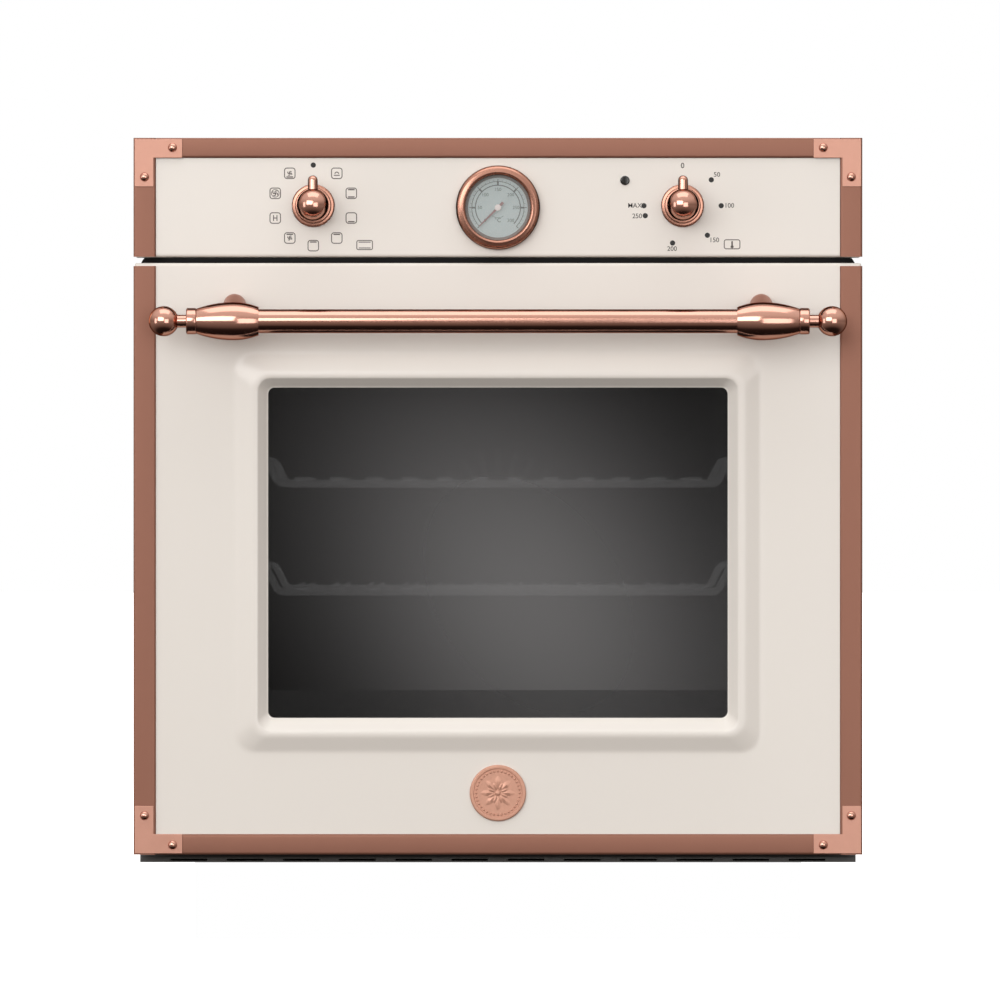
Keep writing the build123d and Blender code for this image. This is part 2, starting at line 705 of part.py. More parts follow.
# ---- chassis ----
def front_frame():
    """The black frame round the cavity, with ears that screw to the cabinet."""
    top = PANEL_Z + FRAME_OVER
    low = STRIP_H
    half = CHASSIS_X - FRAME_SIDE
    frame = slab(-half, half, FRAME_D, CHASSIS_D, low, top)
    ear_x = HALF_W - EAR_SIDE
    ears = plate(2 * ear_x, EAR_H, CAVITY_R, 0, EAR_Z + EAR_H / 2, FRAME_D, CHASSIS_D)
    frame += ears
    frame -= plate(CAVITY_W, CAVITY_H, CAVITY_R, 0, CAVITY_Z, FRAME_D - 1, CHASSIS_D + 1)
    arm = ARM_T / 2 + 1.0
    window = slab(HINGE_X - arm, HINGE_X + arm, FRAME_D - 1, CHASSIS_D + 1,
                  PIVOT_Z - ARM_H / 2 - 1, PIVOT_Z + ARM_H / 2 + 1)
    for cut in both_sides(window):
        frame -= cut
    fix_x = ear_x - FIX_EDGE
    for x in (-fix_x, fix_x):
        for z in (-FIX_SPACING_Z / 2, FIX_SPACING_Z / 2):
            frame -= rod_y(x, EAR_Z + EAR_H / 2 + z, FIX_HOLE_R, FRAME_D - 1, CHASSIS_D + 1)
    return frame


def side_panel():
    """The right-hand side of the chassis, with a folded rear edge."""
    side = slab(CHASSIS_X - SHEET, CHASSIS_X, CHASSIS_D, BACK_D - SHEET, SHEET, CHASSIS_TOP - SHEET)
    fold = slab(CHASSIS_X - SIDE_FOLD, CHASSIS_X, BACK_D - 2 * SHEET, BACK_D - SHEET, SHEET,
                CHASSIS_TOP - SHEET)
    side += fold
    for i in range(LOUVRES):
        z = CHASSIS_TOP - LOUVRE_DROP - LOUVRE_PITCH * i
        side -= slab(CHASSIS_X - 2 * SHEET, CHASSIS_X + 1, BACK_D - LOUVRE_FAR,
                     BACK_D - LOUVRE_NEAR, z, z + LOUVRE_H)
    return side


def top_cover():
    """The lid of the chassis."""
    lid = slab(-CHASSIS_X, CHASSIS_X, CHASSIS_D, BACK_D, CHASSIS_TOP - SHEET, CHASSIS_TOP)
    lid += slab(-CHASSIS_X + LID_IN, CHASSIS_X - LID_IN, PANEL_D - LID_REACH, CHASSIS_D,
                CHASSIS_TOP - SHEET, CHASSIS_TOP)
    return lid


def back_cover():
    """The rear sheet, with air slots and the hole for the cable gland."""
    cover = slab(-CHASSIS_X, CHASSIS_X, BACK_D - SHEET, BACK_D, SHEET, CHASSIS_TOP - SHEET)
    for row in range(BACK_ROWS):
        for column in range(BACK_COLUMNS):
            x = (column - (BACK_COLUMNS - 1) / 2) * 1.5 * VENT_SLOT_L
            z = CAVITY_Z + (row - BACK_ROWS / 2 + 0.5) * BACK_PITCH - BACK_SLOT_H / 2
            cover -= slab(x - VENT_SLOT_L / 2, x + VENT_SLOT_L / 2, BACK_D - 2, BACK_D + 1, z,
                          z + BACK_SLOT_H)
    cover -= rod_y(GLAND_X - CHASSIS_X, CHASSIS_TOP - GLAND_Z, GLAND_R + PANEL_CLEAR, BACK_D - 2,
                   BACK_D + 1)
    return cover


def base_tray():
    """The floor of the chassis, with edges folded up inside the sides."""
    floor = slab(-CHASSIS_X, CHASSIS_X, CHASSIS_D, BACK_D, 0, SHEET)
    edge = slab(CHASSIS_X - 2 * SHEET, CHASSIS_X - SHEET, CHASSIS_D, BACK_D - 2 * SHEET, 0,
                TRAY_FOLD)
    for side in both_sides(edge):
        floor += side
    return floor


def lower_vent_strip():
    """The dark slotted strip under the door."""
    half = HALF_W - EAR_SIDE
    strip = slab(-half, half, FRAME_D - STRIP_REACH, CHASSIS_D, 0, STRIP_H)
    front = strip.edges().filter_by(Axis.X).group_by(Axis.Y)[0].sort_by(Axis.Z)[-1]
    strip = fillet(front, STRIP_NOSE_R)
    upright = strip.edges().filter_by(Axis.Z).group_by(Axis.Y)[0]
    strip = fillet(upright, STRIP_END_R)
    pitch = 2 * CHASSIS_X / STRIP_SLOTS
    for i in range(STRIP_SLOTS):
        x = (i - (STRIP_SLOTS - 1) / 2) * pitch
        strip -= slab(x - VENT_SLOT_L / 2, x + VENT_SLOT_L / 2, FRAME_D - STRIP_REACH - 1,
                      CHASSIS_D + 1, STRIP_SLOT_Z, STRIP_SLOT_Z + STRIP_SLOT_H)
    return strip


# ---- cavity ----
def cavity_liner():
    """The enamelled box that food goes in."""
    outer = plate(CAVITY_W + 2 * LINER_T, CAVITY_H + 2 * LINER_T, CAVITY_R + LINER_T, 0, CAVITY_Z,
                  CHASSIS_D, LINER_BACK)
    inner = plate(CAVITY_W, CAVITY_H, CAVITY_R, 0, CAVITY_Z, CHASSIS_D - 1, CAVITY_BACK)
    liner = outer - inner
    for hole in rear_holes(0):
        liner -= hole
    liner -= rod_z(SENSOR_X, SENSOR_D, SENSOR_R + ELEMENT_CLEAR, CAVITY_TOP - 1, CAVITY_TOP + 3)
    return liner


def rear_holes(extra):
    """Holes behind the cavity for shaft, lamp, elements and motor posts."""
    d0 = CAVITY_BACK - 1
    d1 = WOOL_BACK + 1
    holes = [rod_y(0, CAVITY_Z, SHAFT_HOLE_R + extra, d0, d1)]
    holes.append(rod_y(BULB_X, BULB_Z, BULB_HOLDER_R + PANEL_CLEAR + extra, d0, d1))
    ring_end = CAVITY_Z - sqrt(RING_ELEMENT_R ** 2 - ELEMENT_END_X ** 2)
    for x in (-ELEMENT_END_X, ELEMENT_END_X):
        for z in (GRILL_Z, ring_end):
            holes.append(rod_y(x, z, ELEMENT_R + ELEMENT_CLEAR + extra, d0, d1))
    return holes


def motor_posts(clear, d0, d1):
    """The standoffs that hold the fan motor off the rear wall."""
    posts = []
    for i in range(MOTOR_POSTS):
        turn = 2 * pi * (i + 0.25) / MOTOR_POSTS
        reach = MOTOR_R - 2 * MOTOR_POST_R
        x = reach * cos(turn)
        z = CAVITY_Z + reach * sin(turn)
        posts.append(rod_y(x, z, MOTOR_POST_R + clear, d0, d1))
    return posts


def insulation():
    """The wool blanket round the cavity, left open at the front."""
    x = CAVITY_X + LINER_T + WOOL_GAP
    z0 = CAVITY_FLOOR - LINER_T - ELEMENT_GAP
    z1 = WOOL_TOP - WOOL_T
    inner = slab(-x, x, CHASSIS_D, LINER_BACK + WOOL_GAP, z0, z1)
    outer = slab(-x - WOOL_T, x + WOOL_T, CHASSIS_D + WOOL_T, WOOL_BACK, z0 - WOOL_T, WOOL_TOP)
    wool = outer - inner
    for hole in rear_holes(WOOL_GAP) + motor_posts(WOOL_GAP, CAVITY_BACK, WOOL_BACK + 1):
        wool -= hole
    for end in (-ELEMENT_END_X, ELEMENT_END_X):
        wool -= rod_y(end, UNDER_Z, ELEMENT_R + ELEMENT_CLEAR, CAVITY_BACK, WOOL_BACK + 1)
    wool -= rod_z(SENSOR_X, SENSOR_D, SENSOR_R + ELEMENT_CLEAR, z1 - 1, WOOL_TOP + 1)
    return wool


def door_seal():
    """The rubber ring that the door closes on."""
    inside = 2 * SEAL_OFF
    outside = inside + 2 * SEAL_W
    ring = plate(CAVITY_W + outside, CAVITY_H + outside, CAVITY_R + SEAL_OFF + SEAL_W, 0, CAVITY_Z,
                 FRAME_D - SEAL_PROUD, FRAME_D)
    return ring - plate(CAVITY_W + inside, CAVITY_H + inside, CAVITY_R + SEAL_OFF, 0, CAVITY_Z,
                        FRAME_D - SEAL_PROUD - 1, FRAME_D + 1)


def runner_levels():
    """Height and half thickness of each thing that slides in the guides."""
    racks = [(z + RACK_DROP, RACK_WIRE_R) for z in (UPPER_RACK_Z, LOWER_RACK_Z)]
    return racks + [(TRAY_Z - TRAY_T / 2, TRAY_T / 2)]


def rack_guides():
    """A wire ladder on each side wall, with a pair of wires per level."""
    front = CHASSIS_D + GUIDE_FRONT
    back = CAVITY_BACK - GUIDE_REAR
    upright_x = CAVITY_X - GUIDE_WALL + GUIDE_R / 2
    levels = runner_levels()
    low = levels[-1][0] - GUIDE_UNDER
    high = levels[0][0] + GUIDE_OVER
    ladder = None
    for depth in (front + GUIDE_POST_IN, back - GUIDE_POST_IN):
        post = rod_z(upright_x, depth, GUIDE_POST_R, low - GUIDE_POST_END, high + GUIDE_POST_END)
        ladder = post if ladder is None else ladder + post
    for z in (low, high):
        ladder += rod_y(upright_x, z, GUIDE_R, front, back)
    for z, half in levels:
        step = half + GUIDE_GAP + GUIDE_R
        for rail in (z - step, z + step):
            ladder += rod_y(RUNNER_X + GUIDE_R / 2, rail, GUIDE_R, front, back)
    return group(both_sides(ladder))


def wire_rack(level):
    """A wire shelf: a dropped front and rear rail, runners and hairpin wires."""
    top = level + RACK_DROP
    low_x = RUNNER_X - RACK_SHOULDER - RACK_KICK
    middle = (RACK_FRONT_D + RACK_BACK_D) / 2
    rack = None
    for depth in (RACK_FRONT_D + RACK_WIRE_R, RACK_BACK_D - RACK_WIRE_R):
        route = [(-RUNNER_X, middle, top), (-RUNNER_X, depth, top)]
        route += [(-low_x - RACK_KICK, depth, top), (-low_x, depth, level)]
        route += [(-x, y, z) for x, y, z in reversed(route)]
        rail = tube(route, [RACK_BEND_R] * (len(route) - 2), RACK_WIRE_R)
        rack = rail if rack is None else rack + rail
    loop = hairpin(level + RACK_WIRE_R + GRID_WIRE_R - 0.4)
    for i in range(GRID_PAIRS):
        rack += Pos((i - (GRID_PAIRS - 1) / 2) * GRID_PITCH, 0, 0) * loop
    return rack


def hairpin(z):
    """One long loop of thin wire, closed at the front."""
    half = GRID_LOOP_W / 2
    front = FACE_Y + RACK_FRONT_D + 1 + half
    back = FACE_Y + RACK_BACK_D - 1
    left = Line((-half, back, z), (-half, front, z))
    bend = ThreePointArc((-half, front, z), (0, front - half, z), (half, front, z))
    right = Line((half, front, z), (half, back, z))
    start = Plane(origin=(-half, back, z), z_dir=(0, -1, 0))
    return sweep(start * Circle(GRID_WIRE_R), path=Wire([left, bend, right]))


def baking_tray():
    """A shallow pan with a flat rim that slides in the guides."""
    rim_x = RUNNER_X + RACK_WIRE_R
    x = rim_x - TRAY_RIM
    d1 = RACK_BACK_D
    d0 = d1 - TRAY_D
    middle = FACE_Y + (d0 + d1) / 2
    z0 = TRAY_Z - TRAY_H
    pan = Pos(0, middle, z0 + TRAY_H / 2) * Box(2 * x, TRAY_D - 2 * TRAY_RIM, TRAY_H)
    pan = fillet(pan.edges().filter_by(Axis.Z), TRAY_R)
    hollow = Pos(0, middle, z0 + TRAY_T + TRAY_H / 2) * Box(
        2 * (x - TRAY_T), TRAY_D - 2 * TRAY_RIM - 2 * TRAY_T, TRAY_H)
    hollow = fillet(hollow.edges().filter_by(Axis.Z), TRAY_R - TRAY_T)
    rim = slab(-rim_x, rim_x, d0, d1, TRAY_Z - TRAY_T, TRAY_Z)
    return pan + rim - hollow


# ---- heating ----
def snake(points_x, d_front, d_turn, d_rear, z, end):
    """A heating rod that runs to and fro, with both ends out at the back."""
    outer = points_x[0]
    half = [(-ELEMENT_END_X, end, z), (-ELEMENT_END_X, d_rear, z), (-outer, d_rear, z)]
    forward = True
    for i, x in enumerate(points_x):
        half.append((-x, d_front if forward else d_turn, z))
        if i + 1 < len(points_x):
            half.append((-points_x[i + 1], d_front if forward else d_turn, z))
        forward = not forward
    half += [(-x, depth, height) for x, depth, height in reversed(half)]
    return tube(half, [ELEMENT_BEND_R] * (len(half) - 2), ELEMENT_R)


def grill_element():
    """The rod under the roof of the cavity."""
    passes = [GRILL_X, GRILL_X * 0.6, GRILL_X * 0.2]
    front = CHASSIS_D + ELEMENT_IN
    rear = CAVITY_BACK - ELEMENT_IN
    return snake(passes, front, rear - GRILL_TURN, rear, GRILL_Z, WOOL_BACK + ELEMENT_TAIL)


def bottom_element():
    """The rod under the floor of the cavity."""
    front = CHASSIS_D + ELEMENT_IN
    return snake([GRILL_X + UNDER_WIDER], front, front, CAVITY_BACK - ELEMENT_IN, UNDER_Z,
                 WOOL_BACK + ELEMENT_TAIL)


def ring_element():
    """The rod round the fan, with both tails out through the rear wall."""
    depth = CAVITY_BACK - FAN_COVER_D / 2
    plane = face_plane(depth, 0, CAVITY_Z)
    gap = degrees(asin(ELEMENT_END_X / RING_ELEMENT_R))
    arc = plane * CenterArc((0, 0), RING_ELEMENT_R, 270 + gap, 360 - 2 * gap)
    start = Plane(origin=arc @ 0, z_dir=arc % 0)
    ring = sweep(start * Circle(ELEMENT_R), path=arc)
    for end in (arc @ 0, arc @ 1):
        ring += Pos(*end) * Sphere(ELEMENT_R)
        ring += rod_y(end.X, end.Z, ELEMENT_R, depth, WOOL_BACK + ELEMENT_TAIL)
    return ring


# ---- convection fan ----
def fan_cover():
    """The slotted plate in front of the fan."""
    back = CAVITY_BACK
    front = back - FAN_COVER_D
    cover = plate(FAN_COVER_W, FAN_COVER_H, FAN_COVER_R, 0, CAVITY_Z, front, back)
    cover -= plate(FAN_COVER_W - 2 * FAN_COVER_T, FAN_COVER_H - 2 * FAN_COVER_T,
                   FAN_COVER_R - FAN_COVER_T, 0, CAVITY_Z, front + FAN_COVER_T, back + 1)
    slot = slab(FAN_SLOT_IN, FAN_SLOT_OUT, front - 1, front + FAN_COVER_T + 1, -FAN_SLOT_H / 2,
                FAN_SLOT_H / 2)
    for i in range(FAN_SLOTS):
        cover -= Pos(0, 0, CAVITY_Z) * Rot(0, 360 * i / FAN_SLOTS, 0) * slot
    side_slot = slab(-FAN_COVER_W, FAN_COVER_W, front + FAN_SIDE_IN, back - FAN_SIDE_IN,
                     -FAN_SIDE_H / 2, FAN_SIDE_H / 2)
    for i in range(FAN_SIDE_SLOTS):
        rise = (i - (FAN_SIDE_SLOTS - 1) / 2) * FAN_SIDE_PITCH
        cover -= Pos(0, 0, CAVITY_Z + rise) * side_slot
    return cover


def fan_blade():
    """The circulating fan and its shaft."""
    disc_d = CAVITY_BACK - FAN_DISC_SET
    fan = rod_y(0, CAVITY_Z, FAN_R, disc_d, disc_d + FAN_DISC_T)
    fan += rod_y(0, CAVITY_Z, FAN_HUB_R, disc_d - FAN_BLADE_D + 2, disc_d + FAN_DISC_T)
    fan += rod_y(0, CAVITY_Z, SHAFT_R, disc_d, CAVITY_BACK + MOTOR_SET + MOTOR_L - 5)
    blade = slab(FAN_BLADE_IN, FAN_R - 1, disc_d - FAN_BLADE_D, disc_d + FAN_DISC_T / 2,
                 -FAN_BLADE_T / 2, FAN_BLADE_T / 2)
    for i in range(FAN_BLADES):
        fan += Pos(0, 0, CAVITY_Z) * Rot(0, 360 * i / FAN_BLADES, 0) * blade
    return fan


def fan_motor():
    """The motor on its standoffs behind the cavity."""
    front = CAVITY_BACK + MOTOR_SET
    motor = rod_y(0, CAVITY_Z, MOTOR_R, front, front + MOTOR_L)
    for post in motor_posts(0, LINER_BACK, front + 2):
        motor += post
    motor -= rod_y(0, CAVITY_Z, SHAFT_R + SHAFT_CLEAR, front - 1, front + MOTOR_L + 1)
    return motor


# ---- oven lamp ----
def lamp_glass():
    """The domed cover over the bulb."""
    back = CAVITY_BACK
    dome = rod_y(BULB_X, BULB_Z, BULB_GLASS_R, back - BULB_GLASS_D, back)
    front = dome.edges().group_by(Axis.Y)[0]
    dome = fillet(front, BULB_ROUND_R)
    return dome - rod_y(BULB_X, BULB_Z, BULB_GLASS_R - BULB_GLASS_T,
                        back - BULB_GLASS_D + BULB_GLASS_T, back + 1)


def lamp_holder():
    """The ceramic holder and its bulb."""
    back = CAVITY_BACK + BULB_HOLDER_L
    holder = rod_y(BULB_X, BULB_Z, BULB_HOLDER_R, CAVITY_BACK - 1, back)
    bulb = Pos(BULB_X, FACE_Y + CAVITY_BACK - BULB_GLASS_T, BULB_Z) * Sphere(BULB_R)
    return holder + bulb


# ---- cooling blower ----
def blower_reach():
    """Half the inside length of the blower's housing."""
    return BLOWER_L / 2 + BLOWER_CLEAR


def blower_housing():
    """The scroll that blows cabinet air out above the door."""
    radius = BLOWER_R + BLOWER_CLEAR
    half = blower_reach() + BLOWER_WALL
    d0 = BLOWER_DEPTH - radius - BLOWER_WALL
    d1 = BLOWER_DEPTH + radius + BLOWER_WALL
    housing = slab(-half, half, d0, d1, WOOL_TOP, BLOWER_Z + radius + BLOWER_WALL)
    housing += slab(-half, half, d0 - BLOWER_THROAT, d0 + 1, WOOL_TOP, BLOWER_Z + 1)
    housing -= rod_x(BLOWER_DEPTH, BLOWER_Z, radius, -blower_reach(), blower_reach())
    housing -= slab(-blower_reach(), blower_reach(), d0 - BLOWER_THROAT - 1, BLOWER_DEPTH,
                    WOOL_TOP + BLOWER_WALL, BLOWER_Z + 1 - BLOWER_WALL)
    housing -= slab(-blower_reach(), blower_reach(), BLOWER_DEPTH - BLOWER_INLET / 2,
                    BLOWER_DEPTH + BLOWER_INLET / 2, BLOWER_Z, BLOWER_Z + radius + BLOWER_WALL + 1)
    housing -= rod_x(BLOWER_DEPTH, BLOWER_Z, BLOWER_SHAFT_R + 1, -half - 1, half + 1)
    return housing


def blower_impeller():
    """The drum of long blades on a shaft."""
    half = BLOWER_L / 2
    drum = rod_x(BLOWER_DEPTH, BLOWER_Z, BLOWER_R, -half, -half + BLOWER_DISC_T)
    drum += rod_x(BLOWER_DEPTH, BLOWER_Z, BLOWER_R, half - BLOWER_DISC_T, half)
    drum += rod_x(BLOWER_DEPTH, BLOWER_Z, BLOWER_SHAFT_R, -half - 4, blower_motor_end() - 5)
    for i in range(BLOWER_BLADES):
        turn = 360 * i / BLOWER_BLADES
        blade = Pos(0, BLOWER_R - 5, 0) * Box(BLOWER_L - 1, BLOWER_BLADE_W, BLOWER_BLADE_T)
        drum += Pos(0, FACE_Y + BLOWER_DEPTH, BLOWER_Z) * Rot(turn, 0, 0) * blade
    return drum


def blower_motor_end():
    """The outer end of the blower's motor."""
    return blower_reach() + BLOWER_WALL + BLOWER_MOTOR_L


def blower_motor():
    """The motor on the end of the blower's housing."""
    start = blower_reach() + BLOWER_WALL
    motor = rod_x(BLOWER_DEPTH, BLOWER_Z, BLOWER_MOTOR_R, start, blower_motor_end())
    return motor - rod_x(BLOWER_DEPTH, BLOWER_Z, BLOWER_SHAFT_R + SHAFT_CLEAR, start - 1,
                         blower_motor_end() + 1)


# ---- controls ----
def escutcheon(x):
    """The stepped ring that the knob stands on."""
    profile = [(RING_BORE_R, 0), (RING_R, 0), (RING_R, -RING_T * 0.4), (RING_R - 2, -RING_T * 0.6),
               (RING_R - 3, -RING_T), (RING_BORE_R, -RING_T)]
    return turned(profile, x, KNOB_AXIS_Z)


def knob(x):
    """A ball knob on a flared foot, with a pointer peg."""
    profile = [(0, -KNOB_BASE_OUT), (KNOB_BASE_R, -KNOB_BASE_OUT), (KNOB_BASE_R, -KNOB_BASE_OUT - 2),
               (KNOB_NECK_R, -KNOB_BASE_OUT - 6), (KNOB_NECK_R, -KNOB_OUT), (0, -KNOB_OUT)]
    body = turned(profile, x, KNOB_AXIS_Z)
    body += Pos(x, FACE_Y - KNOB_OUT, KNOB_AXIS_Z) * Sphere(KNOB_R)
    peg_top = KNOB_AXIS_Z + POINTER_REACH - POINTER_R
    peg_depth = -KNOB_OUT + 2
    body += rod_z(x, peg_depth, POINTER_R, KNOB_AXIS_Z, peg_top)
    body += Pos(x, FACE_Y + peg_depth, peg_top) * Sphere(POINTER_R)
    socket = -KNOB_OUT + SPINDLE_SOCKET - 0.5
    return body - rod_y(x, KNOB_AXIS_Z, SPINDLE_R + PIN_PRESS, socket, 0)


def spindle(x):
    """The shaft between knob and switch."""
    return rod_y(x, KNOB_AXIS_Z, SPINDLE_R, -KNOB_OUT + SPINDLE_SOCKET, SWITCH_SET + SWITCH_D - 6)


def switch_body(x):
    """The switch behind the panel, held by its threaded bush."""
    body = slab(x - SWITCH_W / 2, x + SWITCH_W / 2, SWITCH_SET, SWITCH_SET + SWITCH_D,
                KNOB_AXIS_Z - SWITCH_H / 2, KNOB_AXIS_Z + SWITCH_H / 2)
    body += rod_y(x, KNOB_AXIS_Z, BUSH_R, SKIN, SWITCH_SET + 1)
    return body - rod_y(x, KNOB_AXIS_Z, SPINDLE_R + SPINDLE_CLEAR, 0, SWITCH_SET + SWITCH_D - 5)


def thermostat_bulb():
    """The sensing bulb in the cavity and the thin tube that leads to it."""
    start = (KNOB_X + 12, SWITCH_SET + SWITCH_D, KNOB_AXIS_Z + 10)
    route = [start, (KNOB_X + 12, SENSOR_D - 60, KNOB_AXIS_Z + 10),
             (SENSOR_X, SENSOR_D, WOOL_TOP + 30), (SENSOR_X, SENSOR_D, GRILL_Z),
             (SENSOR_X, SENSOR_D + 30, GRILL_Z)]
    line = tube(route, [20.0, 15.0, 10.0], CAPILLARY_R)
    return line + rod_y(SENSOR_X, GRILL_Z, SENSOR_R, SENSOR_D + 28, SENSOR_D + 28 + SENSOR_L)


def indicator_lens():
    """The small round pilot light."""
    lens = rod_y(LAMP_X, PANEL_Z + LAMP_Z, LAMP_R, -LAMP_PROUD, 0)
    lens = fillet(lens.edges().group_by(Axis.Y)[0], LAMP_ROUND_R)
    return lens + rod_y(LAMP_X, PANEL_Z + LAMP_Z, LAMP_STEM_R, -LAMP_PROUD / 2, LAMP_STEM_L)


# ---- gauge ----
def gauge_bezel():
    """The rounded rim and the can behind it."""
    inner = GAUGE_R - GAUGE_RIM_W
    can = [(GAUGE_CAN_R - GAUGE_WALL, -1), (GAUGE_CAN_R, -1), (GAUGE_CAN_R, GAUGE_CAN_D),
           (2.0, GAUGE_CAN_D), (2.0, GAUGE_CAN_D - GAUGE_WALL),
           (GAUGE_CAN_R - GAUGE_WALL, GAUGE_CAN_D - GAUGE_WALL)]
    rim = [(inner, -1), (inner, -GAUGE_PROUD + 2), (inner + 2, -GAUGE_PROUD),
           (GAUGE_R - 3, -GAUGE_PROUD), (GAUGE_R, -GAUGE_PROUD + 3), (GAUGE_R, 0),
           (GAUGE_CAN_R - GAUGE_WALL, 0), (GAUGE_CAN_R - GAUGE_WALL, -1)]
    return turned(rim, 0, GAUGE_AXIS_Z) + turned(can, 0, GAUGE_AXIS_Z)


def gauge_dial():
    """The dial plate, against the back of the rim."""
    radius = GAUGE_CAN_R - GAUGE_WALL - 0.1
    dial = rod_y(0, GAUGE_AXIS_Z, radius, DIAL_SET, DIAL_SET + DIAL_T)
    return dial - rod_y(0, GAUGE_AXIS_Z, STAFF_R + 0.4, DIAL_SET - 1, DIAL_SET + DIAL_T + 1)


def gauge_glass():
    """The flat front glass of the gauge."""
    radius = GAUGE_R - GAUGE_RIM_W - 0.05
    front = -GAUGE_GLASS_OUT
    return rod_y(0, GAUGE_AXIS_Z, radius, front, front + GAUGE_GLASS_T)


def gauge_needle():
    """The tapered needle with its hub and staff, at the low end of the scale."""
    d0 = -1.6
    tip = NEEDLE_L
    outline = [(-NEEDLE_W / 2, -NEEDLE_TAIL), (NEEDLE_W / 2, -NEEDLE_TAIL), (0.3, tip), (-0.3, tip)]
    sketch = make_face(Polyline(*outline, close=True))
    blade = extrude(face_plane(d0 + NEEDLE_T, 0, 0) * sketch, NEEDLE_T)
    needle = Pos(0, 0, GAUGE_AXIS_Z) * Rot(0, NEEDLE_ANGLE, 0) * blade
    needle += rod_y(0, GAUGE_AXIS_Z, HUB_R, d0 - 0.4, d0 - 0.4 + HUB_T)
    return needle + rod_y(0, GAUGE_AXIS_Z, STAFF_R, d0, GAUGE_CAN_D - 4)


# ---- supply ----
def terminal_block():
    """The mains terminals on the inside of the rear sheet."""
    x = GLAND_X - CHASSIS_X
    z = CHASSIS_TOP - GLAND_Z - BLOCK_DROP
    block = slab(x - BLOCK_W / 2, x + BLOCK_W / 2, BACK_D - SHEET - BLOCK_D, BACK_D - SHEET,
                 z - BLOCK_H / 2, z + BLOCK_H / 2)
    for i in range(3):
        step = (i - 1) * BLOCK_W / 3.5
        block -= rod_y(x + step, z, 3.5, BACK_D - SHEET - BLOCK_D - 1, BACK_D - SHEET - BLOCK_D + 8)
    return block


def cable_gland():
    """The threaded inlet for the mains cable."""
    x = GLAND_X - CHASSIS_X
    z = CHASSIS_TOP - GLAND_Z
    end = BACK_D + GLAND_PROUD
    gland = rod_y(x, z, GLAND_R, end - GLAND_L, end)
    gland += rod_y(x, z, GLAND_NUT_R, BACK_D, BACK_D + GLAND_NUT_T)
    gland += rod_y(x, z, GLAND_NUT_R, BACK_D - SHEET - GLAND_NUT_T, BACK_D - SHEET)
    return gland - rod_y(x, z, GLAND_BORE_R, end - GLAND_L - 1, end + 1)


RIGHT_SIDE = side_panel()
PARTS = {
    "control_panel": control_panel(),
    "panel_trim": trim_set(PANEL_Z, PANEL_TOP, TRIM_TOP_H, -1),
    "panel_brackets": corner_brackets(PANEL_TOP, TRIM_TOP_H, -1),
    "panel_bracket_screws": bracket_screws(PANEL_TOP, -1),
    "indicator_lens": indicator_lens(),
    "gauge_bezel": gauge_bezel(),
    "gauge_dial": gauge_dial(),
    "gauge_glass": gauge_glass(),
    "gauge_needle": gauge_needle(),
    "selector_escutcheon": escutcheon(-KNOB_X),
    "selector_knob": knob(-KNOB_X),
    "selector_spindle": spindle(-KNOB_X),
    "selector_switch": switch_body(-KNOB_X),
    "thermostat_escutcheon": escutcheon(KNOB_X),
    "thermostat_knob": knob(KNOB_X),
    "thermostat_spindle": spindle(KNOB_X),
    "thermostat_body": switch_body(KNOB_X),
    "thermostat_bulb": thermostat_bulb(),
    "door_panel": door_panel(),
    "door_trim": trim_set(DOOR_Z, DOOR_TOP - TRIM_HEAD_GAP, TRIM_FOOT_H, 1),
    "door_brackets": corner_brackets(DOOR_Z, TRIM_FOOT_H, 1),
    "door_bracket_screws": bracket_screws(DOOR_Z, 1),
    "outer_glass": outer_glass(),
    "inner_glass": inner_glass(),
    "door_inner_frame": door_inner_frame(),
    "handle_bar": handle_bar(),
    "handle_posts": handle_posts(),
    "handle_finials": handle_finials(),
    "medallion": medallion(),
    "hinge_channels": hinge_channels(),
    "hinge_pins": hinge_pins(),
    "hinge_arms": hinge_arms(),
    "front_frame": front_frame(),
    "side_panel_right": RIGHT_SIDE,
    "side_panel_left": mirror(RIGHT_SIDE, about=Plane.YZ),
    "top_cover": top_cover(),
    "back_cover": back_cover(),
    "base_tray": base_tray(),
    "lower_vent_strip": lower_vent_strip(),
    "cavity_liner": cavity_liner(),
    "insulation": insulation(),
    "door_seal": door_seal(),
    "rack_guides": rack_guides(),
    "upper_rack": wire_rack(UPPER_RACK_Z),
    "lower_rack": wire_rack(LOWER_RACK_Z),
    "baking_tray": baking_tray(),
    "grill_element": grill_element(),
    "bottom_element": bottom_element(),
    "ring_element": ring_element(),
    "fan_cover": fan_cover(),
    "fan_blade": fan_blade(),
    "fan_motor": fan_motor(),
    "lamp_glass": lamp_glass(),
    "lamp_holder": lamp_holder(),
    "blower_housing": blower_housing(),
    "blower_impeller": blower_impeller(),
    "blower_motor": blower_motor(),
    "terminal_block": terminal_block(),
    "cable_gland": cable_gland(),
}

for name, shape in PARTS.items():
    export_step(shape, f"parts/{name}.step")
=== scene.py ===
"""The looks of a built-in oven with an ivory enamelled front and copper fittings.

Every length is in metres once it reaches Blender; sizes in the classes are in
millimetres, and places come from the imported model's own boxes.
"""
import logging
import math
from dataclasses import dataclass, field
from enum import Enum
from typing import Sequence

import bmesh
import bpy
from mathutils import Matrix, Vector


